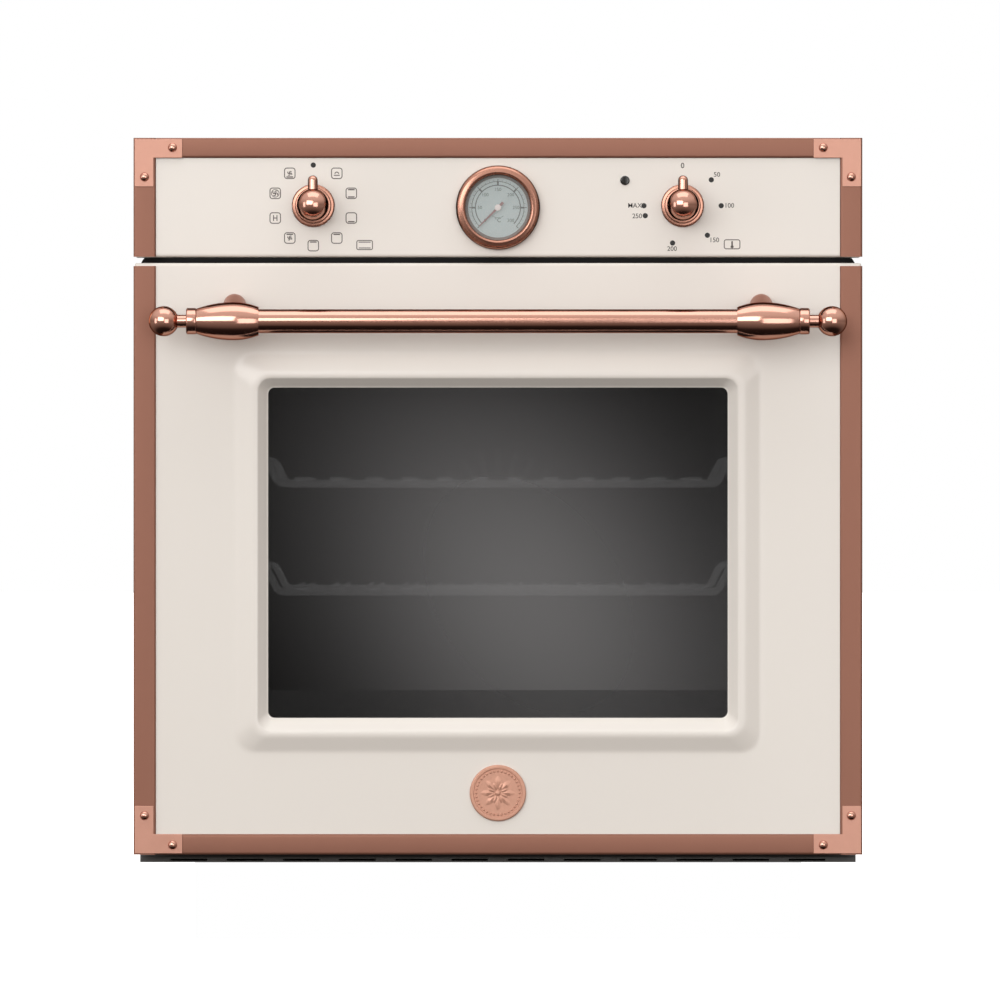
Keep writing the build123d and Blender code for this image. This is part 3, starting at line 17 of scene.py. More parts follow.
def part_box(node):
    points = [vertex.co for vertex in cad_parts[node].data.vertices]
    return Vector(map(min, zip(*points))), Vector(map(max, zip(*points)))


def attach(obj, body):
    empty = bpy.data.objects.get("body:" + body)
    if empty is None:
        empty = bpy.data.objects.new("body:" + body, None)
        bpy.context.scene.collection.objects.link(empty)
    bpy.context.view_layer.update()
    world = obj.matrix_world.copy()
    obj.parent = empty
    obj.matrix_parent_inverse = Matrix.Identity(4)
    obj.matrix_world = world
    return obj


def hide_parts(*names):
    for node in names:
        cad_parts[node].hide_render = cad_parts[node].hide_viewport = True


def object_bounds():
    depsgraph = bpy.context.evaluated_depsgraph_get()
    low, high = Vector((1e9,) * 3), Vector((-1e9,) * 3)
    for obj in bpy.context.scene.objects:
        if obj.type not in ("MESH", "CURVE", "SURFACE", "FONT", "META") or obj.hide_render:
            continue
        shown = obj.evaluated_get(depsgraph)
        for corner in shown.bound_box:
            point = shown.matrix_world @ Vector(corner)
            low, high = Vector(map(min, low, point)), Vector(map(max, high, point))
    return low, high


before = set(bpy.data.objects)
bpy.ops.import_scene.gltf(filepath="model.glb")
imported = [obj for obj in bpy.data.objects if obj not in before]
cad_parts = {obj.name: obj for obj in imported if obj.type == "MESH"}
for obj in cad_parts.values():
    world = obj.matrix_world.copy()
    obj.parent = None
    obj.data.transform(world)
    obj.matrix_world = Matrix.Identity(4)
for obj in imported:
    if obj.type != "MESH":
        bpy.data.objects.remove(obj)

LOG = logging.getLogger("oven")
CAD_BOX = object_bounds()

Point = tuple[float, float, float]
Pair = tuple[float, float]

CREASE_DEG = 32.0      # edges that turn more than this stay sharp
DIGIT_SHARE = 0.73     # a digit's height as a share of the typeface's size
INK_SPREAD = 0.006     # how far ink creeps past a digit's edge, as a share of its height


# ---------------------------------------------------------------- small tools
def mm(value: float) -> float:
    """Millimetres to metres."""
    return value / 1000.0


def colour(hex_code: str) -> tuple[float, float, float, float]:
    """Turns an sRGB hex colour into linear RGBA.

    Args:
        hex_code: Six hex digits with a leading hash.
    Returns:
        Linear red, green, blue and an alpha of one.
    """
    channels = [int(hex_code[i:i + 2], 16) / 255.0 for i in (1, 3, 5)]
    linear = [c / 12.92 if c <= 0.04045 else ((c + 0.055) / 1.055) ** 2.4 for c in channels]
    return (linear[0], linear[1], linear[2], 1.0)


def add_node(tree: bpy.types.NodeTree, kind: str, settings: dict | None = None,
             links: dict | None = None) -> bpy.types.Node:
    """Adds one node with its settings and links.

    Args:
        tree: The node tree to add to.
        kind: The node's type name.
        settings: Input names or numbers to values, or attribute names to values.
        links: Input names or numbers to the output sockets that feed them.
    Returns:
        The new node.
    """
    node = tree.nodes.new(kind)
    for key, value in (settings or {}).items():
        if isinstance(key, str) and hasattr(node, key):
            setattr(node, key, value)
        else:
            node.inputs[key].default_value = value
    for key, source in (links or {}).items():
        tree.links.new(source, node.inputs[key])
    return node


# ------------------------------------------------------------------- finishes
@dataclass(frozen=True)
class Finish:
    """A surface finish: its shader values and the pattern that breaks it up.

    The pattern is a noise in object space; its scale is a real size in
    millimetres, so a piece keeps the same grain wherever it stands.
    """

    name: str
    hex_code: str
    roughness: float
    metallic: float = 0.0
    grain_mm: float = 4.0
    shade: float = 0.03
    rough_swing: float = 0.04
    bump_mm: float = 0.0
    bump_grain_mm: float = 2.0
    coat: float = 0.0
    coat_roughness: float = 0.08
    alpha: float = 1.0
    specular: float = 0.5
    sheen: float = 0.0
    glow: float = 0.0
    edge_hex: str = "#FFFFFF"

    def base_colour(self, tree: bpy.types.NodeTree, coords: bpy.types.NodeSocket,
                    grain: bpy.types.NodeSocket) -> bpy.types.NodeSocket:
        """The colour after the grain has lightened and darkened it.

        Args:
            tree: The material's tree.
            coords: The pattern's coordinates.
            grain: The noise, from nought to one.
        Returns:
            The colour's socket.
        """
        red, green, blue, alpha = colour(self.hex_code)
        low = tuple(c * (1.0 - self.shade) for c in (red, green, blue)) + (alpha,)
        high = tuple(min(1.0, c * (1.0 + self.shade)) for c in (red, green, blue)) + (alpha,)
        mix = add_node(tree, "ShaderNodeMix", {"data_type": "RGBA", 6: low, 7: high}, {0: grain})
        return mix.outputs[2]

    def make(self) -> bpy.types.Material:
        """Builds the material, or returns it if it is already there.

        Returns:
            The material.
        """
        known = bpy.data.materials.get(self.name)
        if known:
            return known
        material = bpy.data.materials.new(self.name)
        material.use_nodes = True
        tree = material.node_tree
        shader = tree.nodes["Principled BSDF"]
        coords = add_node(tree, "ShaderNodeTexCoord").outputs["Object"]
        noise = add_node(tree, "ShaderNodeTexNoise",
                         {"Scale": 1.0 / mm(self.grain_mm), "Detail": 4.0, "Roughness": 0.55},
                         {"Vector": coords})
        grain = noise.outputs[0]
        tree.links.new(self.base_colour(tree, coords, grain), shader.inputs["Base Color"])
        spread = {"To Min": max(0.02, self.roughness - self.rough_swing),
                  "To Max": min(1.0, self.roughness + self.rough_swing)}
        rough = add_node(tree, "ShaderNodeMapRange", spread, {"Value": grain})
        tree.links.new(rough.outputs[0], shader.inputs["Roughness"])
        if self.bump_mm > 0.0:
            fine = add_node(tree, "ShaderNodeTexNoise",
                            {"Scale": 1.0 / mm(self.bump_grain_mm), "Detail": 3.0},
                            {"Vector": coords})
            bump = add_node(tree, "ShaderNodeBump", {"Strength": 1.0, "Distance": mm(self.bump_mm)},
                            {"Height": fine.outputs[0]})
            tree.links.new(bump.outputs[0], shader.inputs["Normal"])
        shader.inputs["Metallic"].default_value = self.metallic
        shader.inputs["Coat Weight"].default_value = self.coat
        shader.inputs["Coat Roughness"].default_value = self.coat_roughness
        shader.inputs["Specular IOR Level"].default_value = self.specular
        shader.inputs["Specular Tint"].default_value = colour(self.edge_hex)
        shader.inputs["Sheen Weight"].default_value = self.sheen
        shader.inputs["Alpha"].default_value = self.alpha
        shader.inputs["Emission Color"].default_value = (1.0, 1.0, 1.0, 1.0)
        shader.inputs["Emission Strength"].default_value = self.glow
        return material


@dataclass(frozen=True)
class Spangle(Finish):
    """Hot-dip galvanised sheet: zinc crystals of about a fingertip's width."""

    crystal_mm: float = 11.0

    def base_colour(self, tree: bpy.types.NodeTree, coords: bpy.types.NodeSocket,
                    grain: bpy.types.NodeSocket) -> bpy.types.NodeSocket:
        """The zinc's grey, a little lighter or darker from crystal to crystal.

        Args:
            tree: The material's tree.
            coords: The pattern's coordinates.
            grain: The noise, from nought to one.
        Returns:
            The colour's socket.
        """
        bend = add_node(tree, "ShaderNodeVectorMath", {"operation": "SCALE", "Scale": mm(3.0)},
                        {0: grain})
        moved = add_node(tree, "ShaderNodeVectorMath", {"operation": "ADD"},
                         {0: coords, 1: bend.outputs[0]})
        cells = add_node(tree, "ShaderNodeTexVoronoi", {"Scale": 1.0 / mm(self.crystal_mm)},
                         {"Vector": moved.outputs[0]})
        tone = add_node(tree, "ShaderNodeSeparateColor", None, {0: cells.outputs["Color"]})
        return super().base_colour(tree, coords, tone.outputs[0])


@dataclass(frozen=True)
class Speckle(Finish):
    """Dark cavity enamel with the fine pale flecks of a ground coat."""

    fleck_hex: str = "#8E9297"
    fleck_mm: float = 1.6

    def base_colour(self, tree: bpy.types.NodeTree, coords: bpy.types.NodeSocket,
                    grain: bpy.types.NodeSocket) -> bpy.types.NodeSocket:
        """The ground colour with flecks where a cell's middle is near.

        Args:
            tree: The material's tree.
            coords: The pattern's coordinates.
            grain: The noise, from nought to one.
        Returns:
            The colour's socket.
        """
        ground = super().base_colour(tree, coords, grain)
        cells = add_node(tree, "ShaderNodeTexVoronoi", {"Scale": 1.0 / mm(self.fleck_mm)},
                         {"Vector": coords})
        near = add_node(tree, "ShaderNodeMapRange",
                        {"From Min": 0.12, "From Max": 0.2, "To Min": 1.0, "To Max": 0.0},
                        {"Value": cells.outputs["Distance"]})
        mix = add_node(tree, "ShaderNodeMix", {"data_type": "RGBA", 7: colour(self.fleck_hex)},
                       {0: near.outputs[0], 6: ground})
        return mix.outputs[2]


@dataclass(frozen=True)
class SmokedPane(Finish):
    """Smoked float glass with a soft painted glow that is strongest off its middle.

    The glow is painted light, not a coating: a paler tint in the base colour that stands for light seen in
    the window. It dies away as a bell curve of real width and height.
    """

    painted_glow_hex: str = "#727273"
    centre: Point = (0.025, 0.0, 0.220)
    spread: Pair = (0.1, 0.12)
    lean: float = 0.28

    def make(self) -> bpy.types.Material:
        """Builds the pane's material.

        Returns:
            The material.
        """
        known = bpy.data.materials.get(self.name)
        if known:
            return known
        material = super().make()
        tree = material.node_tree
        place = add_node(tree, "ShaderNodeTexCoord").outputs["Object"]
        offset = add_node(tree, "ShaderNodeVectorMath", {"operation": "SUBTRACT", 1: self.centre},
                          {0: place})
        wide, tall = self.spread
        across = add_node(tree, "ShaderNodeVectorMath",
                          {"operation": "DOT_PRODUCT", 1: (1.0 / wide, 0.0, self.lean / wide)},
                          {0: offset.outputs[0]})
        up = add_node(tree, "ShaderNodeVectorMath",
                      {"operation": "DOT_PRODUCT", 1: (0.0, 0.0, 1.0 / tall)},
                      {0: offset.outputs[0]})
        flat = add_node(tree, "ShaderNodeCombineXYZ", None,
                        {"X": across.outputs["Value"], "Y": up.outputs["Value"]})
        square = add_node(tree, "ShaderNodeVectorMath", {"operation": "DOT_PRODUCT"},
                          {0: flat.outputs[0], 1: flat.outputs[0]})
        minus = add_node(tree, "ShaderNodeMath", {"operation": "MULTIPLY", 1: -0.5},
                         {0: square.outputs["Value"]})
        bell = add_node(tree, "ShaderNodeMath", {"operation": "EXPONENT"}, {0: minus.outputs[0]})
        # Painted glow: the base colour turns to the paler tint towards the bell's middle.
        tint = add_node(tree, "ShaderNodeMix",
                        {"data_type": "RGBA", 6: colour(self.hex_code), 7: colour(self.painted_glow_hex)},
                        {0: bell.outputs[0]})
        tree.links.new(tint.outputs[2], tree.nodes["Principled BSDF"].inputs["Base Color"])
        return material


# Vitreous enamel, fired on steel: a pale satin gloss, all but even.
IVORY = Finish("vitreous_enamel_ivory", "#E8E3DC", 0.3, grain_mm=120.0, shade=0.003,
               rough_swing=0.01, bump_mm=0.004, bump_grain_mm=6.0, coat=0.2)
# Brass strip under copper-brown lacquer: satin, with a soft metal sheen.
TRIM = Finish("satin_copper_lacquer", "#8E6150", 0.42, metallic=0.55, grain_mm=14.0, shade=0.035,
              bump_mm=0.004, bump_grain_mm=0.5)
# Copper plate with a fine brushing, paler than the strips it lies on.
BRACKET = Finish("brushed_copper_plate", "#C99582", 0.36, metallic=0.45, grain_mm=8.0, shade=0.05,
                 rough_swing=0.06, bump_mm=0.003, bump_grain_mm=0.4)
# Copper plate, buffed: a mirror that darkens towards its outline.
COPPER = Finish("polished_copper_plate", "#D4A18F", 0.15, metallic=1.0, grain_mm=20.0, shade=0.03,
                rough_swing=0.03, edge_hex="#5A3A30")
# The same plate left satin on the rings, so its highlights spread.
RING_COPPER = Finish("satin_copper_ring", "#C08D7A", 0.27, metallic=1.0, grain_mm=12.0, shade=0.04,
                     rough_swing=0.05, edge_hex="#4A2E26")
# The gauge's inner slope: copper painted dark brown as painted shade, standing for the shadow of its rim.
BOWL_PAINTED_SHADE = Finish("painted_shade_copper_bowl", "#66463C", 0.5, metallic=0.3, grain_mm=8.0, shade=0.05)
# Cast feet behind the handle, plated and left dull.
CAST_COPPER = Finish("cast_copper_foot", "#A87361", 0.4, metallic=0.6, grain_mm=5.0, shade=0.05)
# Struck disc: mottled all over, like a light patina.
MEDAL = Finish("struck_copper_disc", "#CB9882", 0.4, metallic=0.35, grain_mm=2.5, shade=0.12,
               rough_swing=0.08, bump_mm=0.01, bump_grain_mm=0.6)
# Black ground enamel on steel: deep and nearly matt.
BLACK = Finish("black_enamelled_steel", "#0B0B0C", 0.4, grain_mm=30.0, shade=0.1, bump_mm=0.004,
               specular=0.15)
# Cavity enamel: blue-black with pale flecks of the ground coat.
CAVITY = Speckle("cavity_ground_enamel", "#303236", 0.34, grain_mm=40.0, shade=0.06, coat=0.15,
                 bump_mm=0.01, bump_grain_mm=3.0)
# Hot-dip galvanised sheet: dull grey with crystal spangle.
ZINC = Spangle("galvanised_sheet", "#9A9EA1", 0.5, metallic=0.7, grain_mm=60.0, shade=0.12,
               rough_swing=0.08, bump_mm=0.004, bump_grain_mm=1.5)
# Zinc-plated steel: bright grey, a little uneven.
STEEL = Finish("zinc_plated_steel", "#A9A9A6", 0.34, metallic=1.0, grain_mm=5.0, shade=0.06,
               rough_swing=0.08)
# Chromed wire: a clean mirror.
CHROME = Finish("chromed_wire", "#C9CACD", 0.14, metallic=1.0, grain_mm=25.0, shade=0.03)
# Nickel-plated wire, with a slight glow that stands for light caught in the cavity.
RACK_WIRE = Finish("nickel_plated_wire", "#C4C5C8", 0.45, metallic=0.7, grain_mm=25.0, shade=0.03,
                   glow=0.45)
# Grey primed steel: an even satin.
STRIP = Finish("grey_primed_steel", "#4B4A49", 0.38, grain_mm=20.0, shade=0.06)
# Fired ceramic band: thin enough to let the pane's painted glow show through.
BAND = Finish("fired_dark_band", "#050505", 0.4, grain_mm=50.0, shade=0.01, alpha=0.16)
# Steel sheath, browned by heat.
SHEATH = Finish("heat_darkened_sheath", "#4D4642", 0.46, metallic=0.8, grain_mm=9.0, shade=0.2,
                rough_swing=0.1)
# Mill-finish aluminium: soft grey shine.
ALUMINIUM = Finish("mill_aluminium", "#C4C6C8", 0.36, metallic=1.0, grain_mm=4.0, shade=0.05)
# Silicone: black with a faint powdery sheen.
RUBBER = Finish("silicone_seal", "#1C1C1D", 0.62, grain_mm=6.0, shade=0.15, sheen=0.2)
# Mineral wool: straw-yellow, rough and matt. Its fibres are drawn coarse to show.
WOOL = Finish("mineral_wool", "#C9BC8C", 0.95, grain_mm=9.0, shade=0.25, bump_mm=1.2,
              bump_grain_mm=4.0)
# Moulded black plastic with a fine spark-eroded grain.
PLASTIC = Finish("moulded_black_plastic", "#17171A", 0.48, grain_mm=2.0, shade=0.1, bump_mm=0.01,
                 bump_grain_mm=0.8)
# Unglazed steatite: chalky off-white.
CERAMIC = Finish("unglazed_steatite", "#DDD8CC", 0.7, grain_mm=5.0, shade=0.05)
# Moulded dark lens: glossy.
LENS = Finish("moulded_lens", "#0B0A0A", 0.12, grain_mm=5.0, shade=0.2, coat=0.5)
# Silvered dial: cool satin grey.
DIAL = Finish("satin_silver_dial", "#A9B4B5", 0.4, metallic=0.35, grain_mm=6.0, shade=0.05,
              rough_swing=0.05)
# Turned hub, lacquered pale pink.
HUB = Finish("turned_light_hub", "#E9DCDA", 0.3, grain_mm=2.0, shade=0.03)
# Needle lacquer: dull dark red.
NEEDLE = Finish("red_needle_lacquer", "#7A2A2A", 0.4, grain_mm=3.0, shade=0.08)
# Fired black print.
INK = Finish("fired_black_print", "#171514", 0.5, grain_mm=3.0, shade=0.15)
# Fired print in warm grey.
GREY_INK = Finish("fired_grey_print", "#5A534F", 0.5, grain_mm=3.0, shade=0.1)
# Clear float glass: almost all see-through, with a sharp reflection.
CLEAR = Finish("clear_float_glass", "#DDE6E4", 0.04, grain_mm=200.0, shade=0.01, rough_swing=0.01,
               alpha=0.14)


# ----------------------------------------------------------- meshes and pieces
def new_piece(name: str, points: Sequence[Sequence[float]], faces: Sequence[Sequence[int]],
              finish: Finish, crease_deg: float = CREASE_DEG) -> bpy.types.Object:
    """Makes a shown object from points and faces.

    Args:
        name: The piece's name.
        points: Corners, in metres.
        faces: Corner numbers of each face.
        finish: The finish to dress it in.
        crease_deg: Edges that turn more than this stay sharp.
    Returns:
        The new object, at the origin.
    """
    mesh = bpy.data.meshes.new(name)
    mesh.from_pydata([tuple(p) for p in points], [], [tuple(f) for f in faces])
    return dress(name, mesh, finish, crease_deg)


def tidy_faces(mesh: bpy.types.Mesh, crease_deg: float) -> None:
    """Merges doubled corners, turns faces outward and marks the sharp edges.

    Args:
        mesh: The mesh.
        crease_deg: Edges that turn more than this stay sharp.
    """
    form = bmesh.new()
    form.from_mesh(mesh)
    bmesh.ops.remove_doubles(form, verts=form.verts, dist=1e-6)
    bmesh.ops.recalc_face_normals(form, faces=form.faces)
    limit = math.radians(crease_deg)
    for edge in form.edges:
        edge.smooth = len(edge.link_faces) == 2 and edge.calc_face_angle(0.0) < limit
    for face in form.faces:
        face.smooth = True
        face.material_index = 0
    form.to_mesh(mesh)
    form.free()


def dress(name: str, mesh: bpy.types.Mesh, finish: Finish,
          crease_deg: float = CREASE_DEG) -> bpy.types.Object:
    """Cleans a mesh, shades it, gives it its finish and links it to the scene.

    Args:
        name: The piece's name.
        mesh: The mesh.
        finish: The finish.
        crease_deg: Edges that turn more than this stay sharp.
    Returns:
        The dressed piece.
    """
    tidy_faces(mesh, crease_deg)
    mesh.materials.clear()
    mesh.materials.append(finish.make())
    piece = bpy.data.objects.new(name, mesh)
    bpy.context.collection.objects.link(piece)
    return piece


def flattened(piece: bpy.types.Object) -> bpy.types.Object:
    """Turns a piece's modifiers into plain mesh and removes them.

    Args:
        piece: The piece.
    Returns:
        The same piece.
    """
    bpy.context.view_layer.update()
    view = bpy.context.evaluated_depsgraph_get()
    mesh = bpy.data.meshes.new_from_object(piece.evaluated_get(view))
    mesh.name = piece.name
    piece.modifiers.clear()
    piece.data = mesh
    return piece


def soften(piece: bpy.types.Object, width_mm: float, segments: int = 3,
           limit_deg: float = 40.0) -> bpy.types.Object:
    """Rounds a piece's sharp edges by a real radius.

    Args:
        piece: The piece.
        width_mm: The radius, in millimetres.
        segments: Steps round the edge.
        limit_deg: Edges that turn less than this stay as they are.
    Returns:
        The same piece.
    """
    bevel = piece.modifiers.new("edge", "BEVEL")
    bevel.width = mm(width_mm)
    bevel.segments = segments
    bevel.limit_method = "ANGLE"
    bevel.angle_limit = math.radians(limit_deg)
    bevel.harden_normals = True
    return flattened(piece)


def cut_away(piece: bpy.types.Object, cutter: bpy.types.Object) -> None:
    """Takes a cutter's shape out of a piece and removes the cutter.

    Args:
        piece: The piece.
        cutter: The shape to take out.
    """
    cut = piece.modifiers.new("cut", "BOOLEAN")
    cut.object = cutter
    cut.solver = "EXACT"
    flattened(piece)
    bpy.data.objects.remove(cutter, do_unlink=True)
    tidy_faces(piece.data, CREASE_DEG)


def joined(name: str, pieces: Sequence[bpy.types.Object]) -> bpy.types.Object:
    """Joins several pieces of the same finish into one object.

    Args:
        name: The piece's name.
        pieces: The pieces to join.
    Returns:
        The whole.
    """
    form = bmesh.new()
    for piece in pieces:
        form.from_mesh(piece.data)
    mesh = bpy.data.meshes.new(name)
    form.to_mesh(mesh)
    form.free()
    mesh.materials.append(pieces[0].data.materials[0])
    whole = bpy.data.objects.new(name, mesh)
    bpy.context.collection.objects.link(whole)
    for piece in pieces:
        bpy.data.objects.remove(piece, do_unlink=True)
    return whole


def settle(piece: bpy.types.Object, body: str, slot: str, *nodes: str) -> bpy.types.Object:
    """Rides a piece on its body and hides the CAD nodes it stands for.

    Args:
        piece: The piece.
        body: The body it rides on.
        slot: Not used.
        nodes: The CAD nodes it stands for.
    Returns:
        The same piece.
    """
    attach(piece, body)
    if nodes:
        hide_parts(*nodes)
    LOG.info("%s rides on %s, %d faces", piece.name, body, len(piece.data.polygons))
    return piece


def smooth_copy(node: str, body: str, finish: Finish, slot: str,
                crease_deg: float = 28.0) -> bpy.types.Object:
    """A merged, smooth-shaded copy of a CAD node, which stands for it.

    Args:
        node: The CAD node.
        body: The body it rides on.
        finish: The finish.
        slot: Its material slot.
        crease_deg: Edges that turn more than this stay sharp.
    Returns:
        The copy.
    """
    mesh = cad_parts[node].data.copy()
    piece = dress(node + "_finished", mesh, finish, crease_deg)
    return settle(piece, body, slot, node)


def arc(cx: float, cy: float, radius: float, start_deg: float, end_deg: float,
        steps: int = 10) -> list[Pair]:
    """Points along a circular arc, both ends included."""
    turns = [math.radians(start_deg + (end_deg - start_deg) * i / steps) for i in range(steps + 1)]
    return [(cx + radius * math.cos(t), cy + radius * math.sin(t)) for t in turns]


class Axis(Enum):
    """The axis that a turned piece spins about."""

    ACROSS = "x"
    INWARD = "y"
    UP = "z"


def lathe(name: str, profile: Sequence[Pair], axis: Axis, centre: Vector, finish: Finish,
          segments: int = 96, crease_deg: float = CREASE_DEG) -> bpy.types.Object:
    """Spins (radius, along) points, in millimetres, about an axis.

    Args:
        name: The piece's name.
        profile: The outline from one pole or rim to the other.
        axis: The axis to spin about.
        centre: A point on the axis, in metres; along is measured from it.
        finish: The finish.
        segments: Steps round the circle.
        crease_deg: Edges that turn more than this stay sharp.
    Returns:
        The turned piece.
    """
    points: list[Vector] = []
    rings: list[list[int]] = []
    for radius, along in profile:
        count = 1 if radius < 1e-6 else segments
        ring = []
        for i in range(count):
            turn = 2.0 * math.pi * i / segments
            across, up = mm(radius) * math.cos(turn), mm(radius) * math.sin(turn)
            places = {Axis.ACROSS: (mm(along), across, up), Axis.INWARD: (across, mm(along), up),
                      Axis.UP: (across, up, mm(along))}
            ring.append(len(points))
            points.append(centre + Vector(places[axis]))
        rings.append(ring)
    faces = []
    for low, high in zip(rings, rings[1:]):
        for i in range(segments):
            a, b = low[i % len(low)], low[(i + 1) % len(low)]
            c, d = high[(i + 1) % len(high)], high[i % len(high)]
            face = [v for k, v in enumerate((a, b, c, d)) if v not in (a, b, c, d)[:k]]
            if len(face) > 2:
                faces.append(face)
    return new_piece(name, points, faces, finish, crease_deg)


def round_rect(half_w: float, z0: float, z1: float, radius: float, y: float,
               steps: int = 10) -> list[Point]:
    """A rectangle with round corners in the plane of the front, in metres.

    Args:
        half_w: Half its width.
        z0: Its bottom.
        z1: Its top.
        radius: The corners' radius.
        y: Its depth.
        steps: Steps round each corner.
    Returns:
        The corner points, in order.
    """
    middle_z, half_h = (z0 + z1) / 2.0, (z1 - z0) / 2.0
    points = []
    corners = ((1, 1, 0), (-1, 1, 90), (-1, -1, 180), (1, -1, 270))
    for sign_x, sign_z, start in corners:
        cx, cz = sign_x * (half_w - radius), middle_z + sign_z * (half_h - radius)
        points += [(x, y, z) for x, z in arc(cx, cz, radius, start, start + 90, steps)]
    return points


def loft(name: str, loops: Sequence[Sequence[Point]], finish: Finish,
         caps: bool = False) -> bpy.types.Object:
    """Skins a row of loops that have the same number of points.

    Args:
        name: The piece's name.
        loops: The loops, in order.
        finish: The finish.
        caps: Whether to close both ends.
    Returns:
        The skinned piece.
    """
    count = len(loops[0])
    points = [p for ring in loops for p in ring]
    faces: list[Sequence[int]] = []
    for k in range(len(loops) - 1):
        for i in range(count):
            j = (i + 1) % count
            faces.append((k * count + i, k * count + j, (k + 1) * count + j, (k + 1) * count + i))
    if caps:
        last = (len(loops) - 1) * count
        faces += [list(range(count)), [last + i for i in range(count)]]
    return new_piece(name, points, faces, finish)


def prism(name: str, outline: Sequence[Pair], y0: float, y1: float,
          finish: Finish) -> bpy.types.Object:
    """A flat shape in the plane of the front, given a thickness.

    Args:
        name: The piece's name.
        outline: Its (x, z) corners, in metres.
        y0: Its front.
        y1: Its back.
        finish: The finish.
    Returns:
        The piece.
    """
    loops = [[(x, y, z) for x, z in outline] for y in (y0, y1)]
    return loft(name, loops, finish, True)


# -------------------------------------------------------------- geometry nodes
class NodeShape:
    """A Geometry Nodes tree with named inputs, run once on a piece."""

    def __init__(self, name: str, inputs: Sequence[tuple[str, str, object]]) -> None:
        """Makes an empty tree.

        Args:
            name: The tree's name.
            inputs: Each input's name, socket type and default.
        """
        self.tree = bpy.data.node_groups.new(name, "GeometryNodeTree")
        face = self.tree.interface
        face.new_socket("Geometry", in_out="INPUT", socket_type="NodeSocketGeometry")
        for label, kind, default in inputs:
            socket = face.new_socket(label, in_out="INPUT", socket_type=kind)
            if default is not None:
                socket.default_value = default
        face.new_socket("Finish", in_out="INPUT", socket_type="NodeSocketMaterial")
        face.new_socket("Geometry", in_out="OUTPUT", socket_type="NodeSocketGeometry")
        self.start = self.tree.nodes.new("NodeGroupInput")
        self.end = self.tree.nodes.new("NodeGroupOutput")

    def close(self, geometry: bpy.types.NodeSocket) -> None:
        """Ends the tree: real geometry, with its material.

        Args:
            geometry: What the tree has made.
        """
        real = add_node(self.tree, "GeometryNodeRealizeInstances", None, {0: geometry})
        coat = add_node(self.tree, "GeometryNodeSetMaterial", None,
                        {"Geometry": real.outputs[0], "Material": self.start.outputs["Finish"]})
        self.tree.links.new(coat.outputs[0], self.end.inputs[0])

    def run(self, piece: bpy.types.Object, finish: Finish, **values: object) -> bpy.types.Object:
        """Runs the tree on a piece and leaves plain mesh.

        Args:
            piece: The piece that the tree repeats or thickens.
            finish: Its finish.
            values: Input names, with underscores for spaces, to values.
        Returns:
            The same piece, with its new mesh.
        """
        modifier = piece.modifiers.new(self.tree.name, "NODES")
        modifier.node_group = self.tree
        wanted = {label.replace("_", " "): value for label, value in values.items()}
        wanted["Finish"] = finish.make()
        for item in self.tree.interface.items_tree:
            if item.in_out == "INPUT" and item.name in wanted:
                modifier[item.identifier] = wanted[item.name]
        flattened(piece)
        mesh = piece.data
        name = piece.name
        bpy.data.objects.remove(piece, do_unlink=True)
        return dress(name, mesh, finish)


def ring_repeat() -> NodeShape:
    """A tree that repeats a shape round a front-to-back axis at the origin.

    Returns:
        The tree.
    """
    shape = NodeShape("repeat_round", [("Count", "NodeSocketInt", 12),
                                       ("Start", "NodeSocketFloat", 0.0),
                                       ("Step", "NodeSocketFloat", 0.5)])
    tree, start = shape.tree, shape.start
    dots = add_node(tree, "GeometryNodePoints", None, {"Count": start.outputs["Count"]})
    index = tree.nodes.new("GeometryNodeInputIndex")
    turn = add_node(tree, "ShaderNodeMath", {"operation": "MULTIPLY_ADD"},
                    {0: index.outputs[0], 1: start.outputs["Step"], 2: start.outputs["Start"]})
    spin = add_node(tree, "ShaderNodeCombineXYZ", None, {"Y": turn.outputs[0]})
    copies = add_node(tree, "GeometryNodeInstanceOnPoints", None,
                      {"Points": dots.outputs[0], "Instance": start.outputs["Geometry"],
                       "Rotation": spin.outputs[0]})
    shape.close(copies.outputs[0])
    return shape


def row_repeat() -> NodeShape:
    """A tree that repeats a shape in rows along two directions.

    Returns:
        The tree.
    """
    shape = NodeShape("repeat_rows", [("Count A", "NodeSocketInt", 2),
                                      ("Count B", "NodeSocketInt", 1),
                                      ("Step A", "NodeSocketVector", (0.1, 0.0, 0.0)),
                                      ("Step B", "NodeSocketVector", (0.0, 0.0, 0.1))])
    tree, start = shape.tree, shape.start
    total = add_node(tree, "ShaderNodeMath", {"operation": "MULTIPLY"},
                     {0: start.outputs["Count A"], 1: start.outputs["Count B"]})
    dots = add_node(tree, "GeometryNodePoints", None, {"Count": total.outputs[0]})
    index = tree.nodes.new("GeometryNodeInputIndex")
    share = add_node(tree, "ShaderNodeMath", {"operation": "DIVIDE"},
                     {0: index.outputs[0], 1: start.outputs["Count A"]})
    row = add_node(tree, "ShaderNodeMath", {"operation": "FLOOR"}, {0: share.outputs[0]})
    column = add_node(tree, "ShaderNodeMath", {"operation": "MODULO"},
                      {0: index.outputs[0], 1: start.outputs["Count A"]})
    along = add_node(tree, "ShaderNodeVectorMath", {"operation": "SCALE"},
                     {0: start.outputs["Step A"], "Scale": column.outputs[0]})
    up = add_node(tree, "ShaderNodeVectorMath", {"operation": "SCALE"},
                  {0: start.outputs["Step B"], "Scale": row.outputs[0]})
    offset = add_node(tree, "ShaderNodeVectorMath", {"operation": "ADD"},
                      {0: along.outputs[0], 1: up.outputs[0]})
    copies = add_node(tree, "GeometryNodeInstanceOnPoints", None,
                      {"Points": dots.outputs[0], "Instance": start.outputs["Geometry"]})
    moved = add_node(tree, "GeometryNodeTranslateInstances", None,
                     {"Instances": copies.outputs[0], "Translation": offset.outputs[0]})
    shape.close(moved.outputs[0])
    return shape


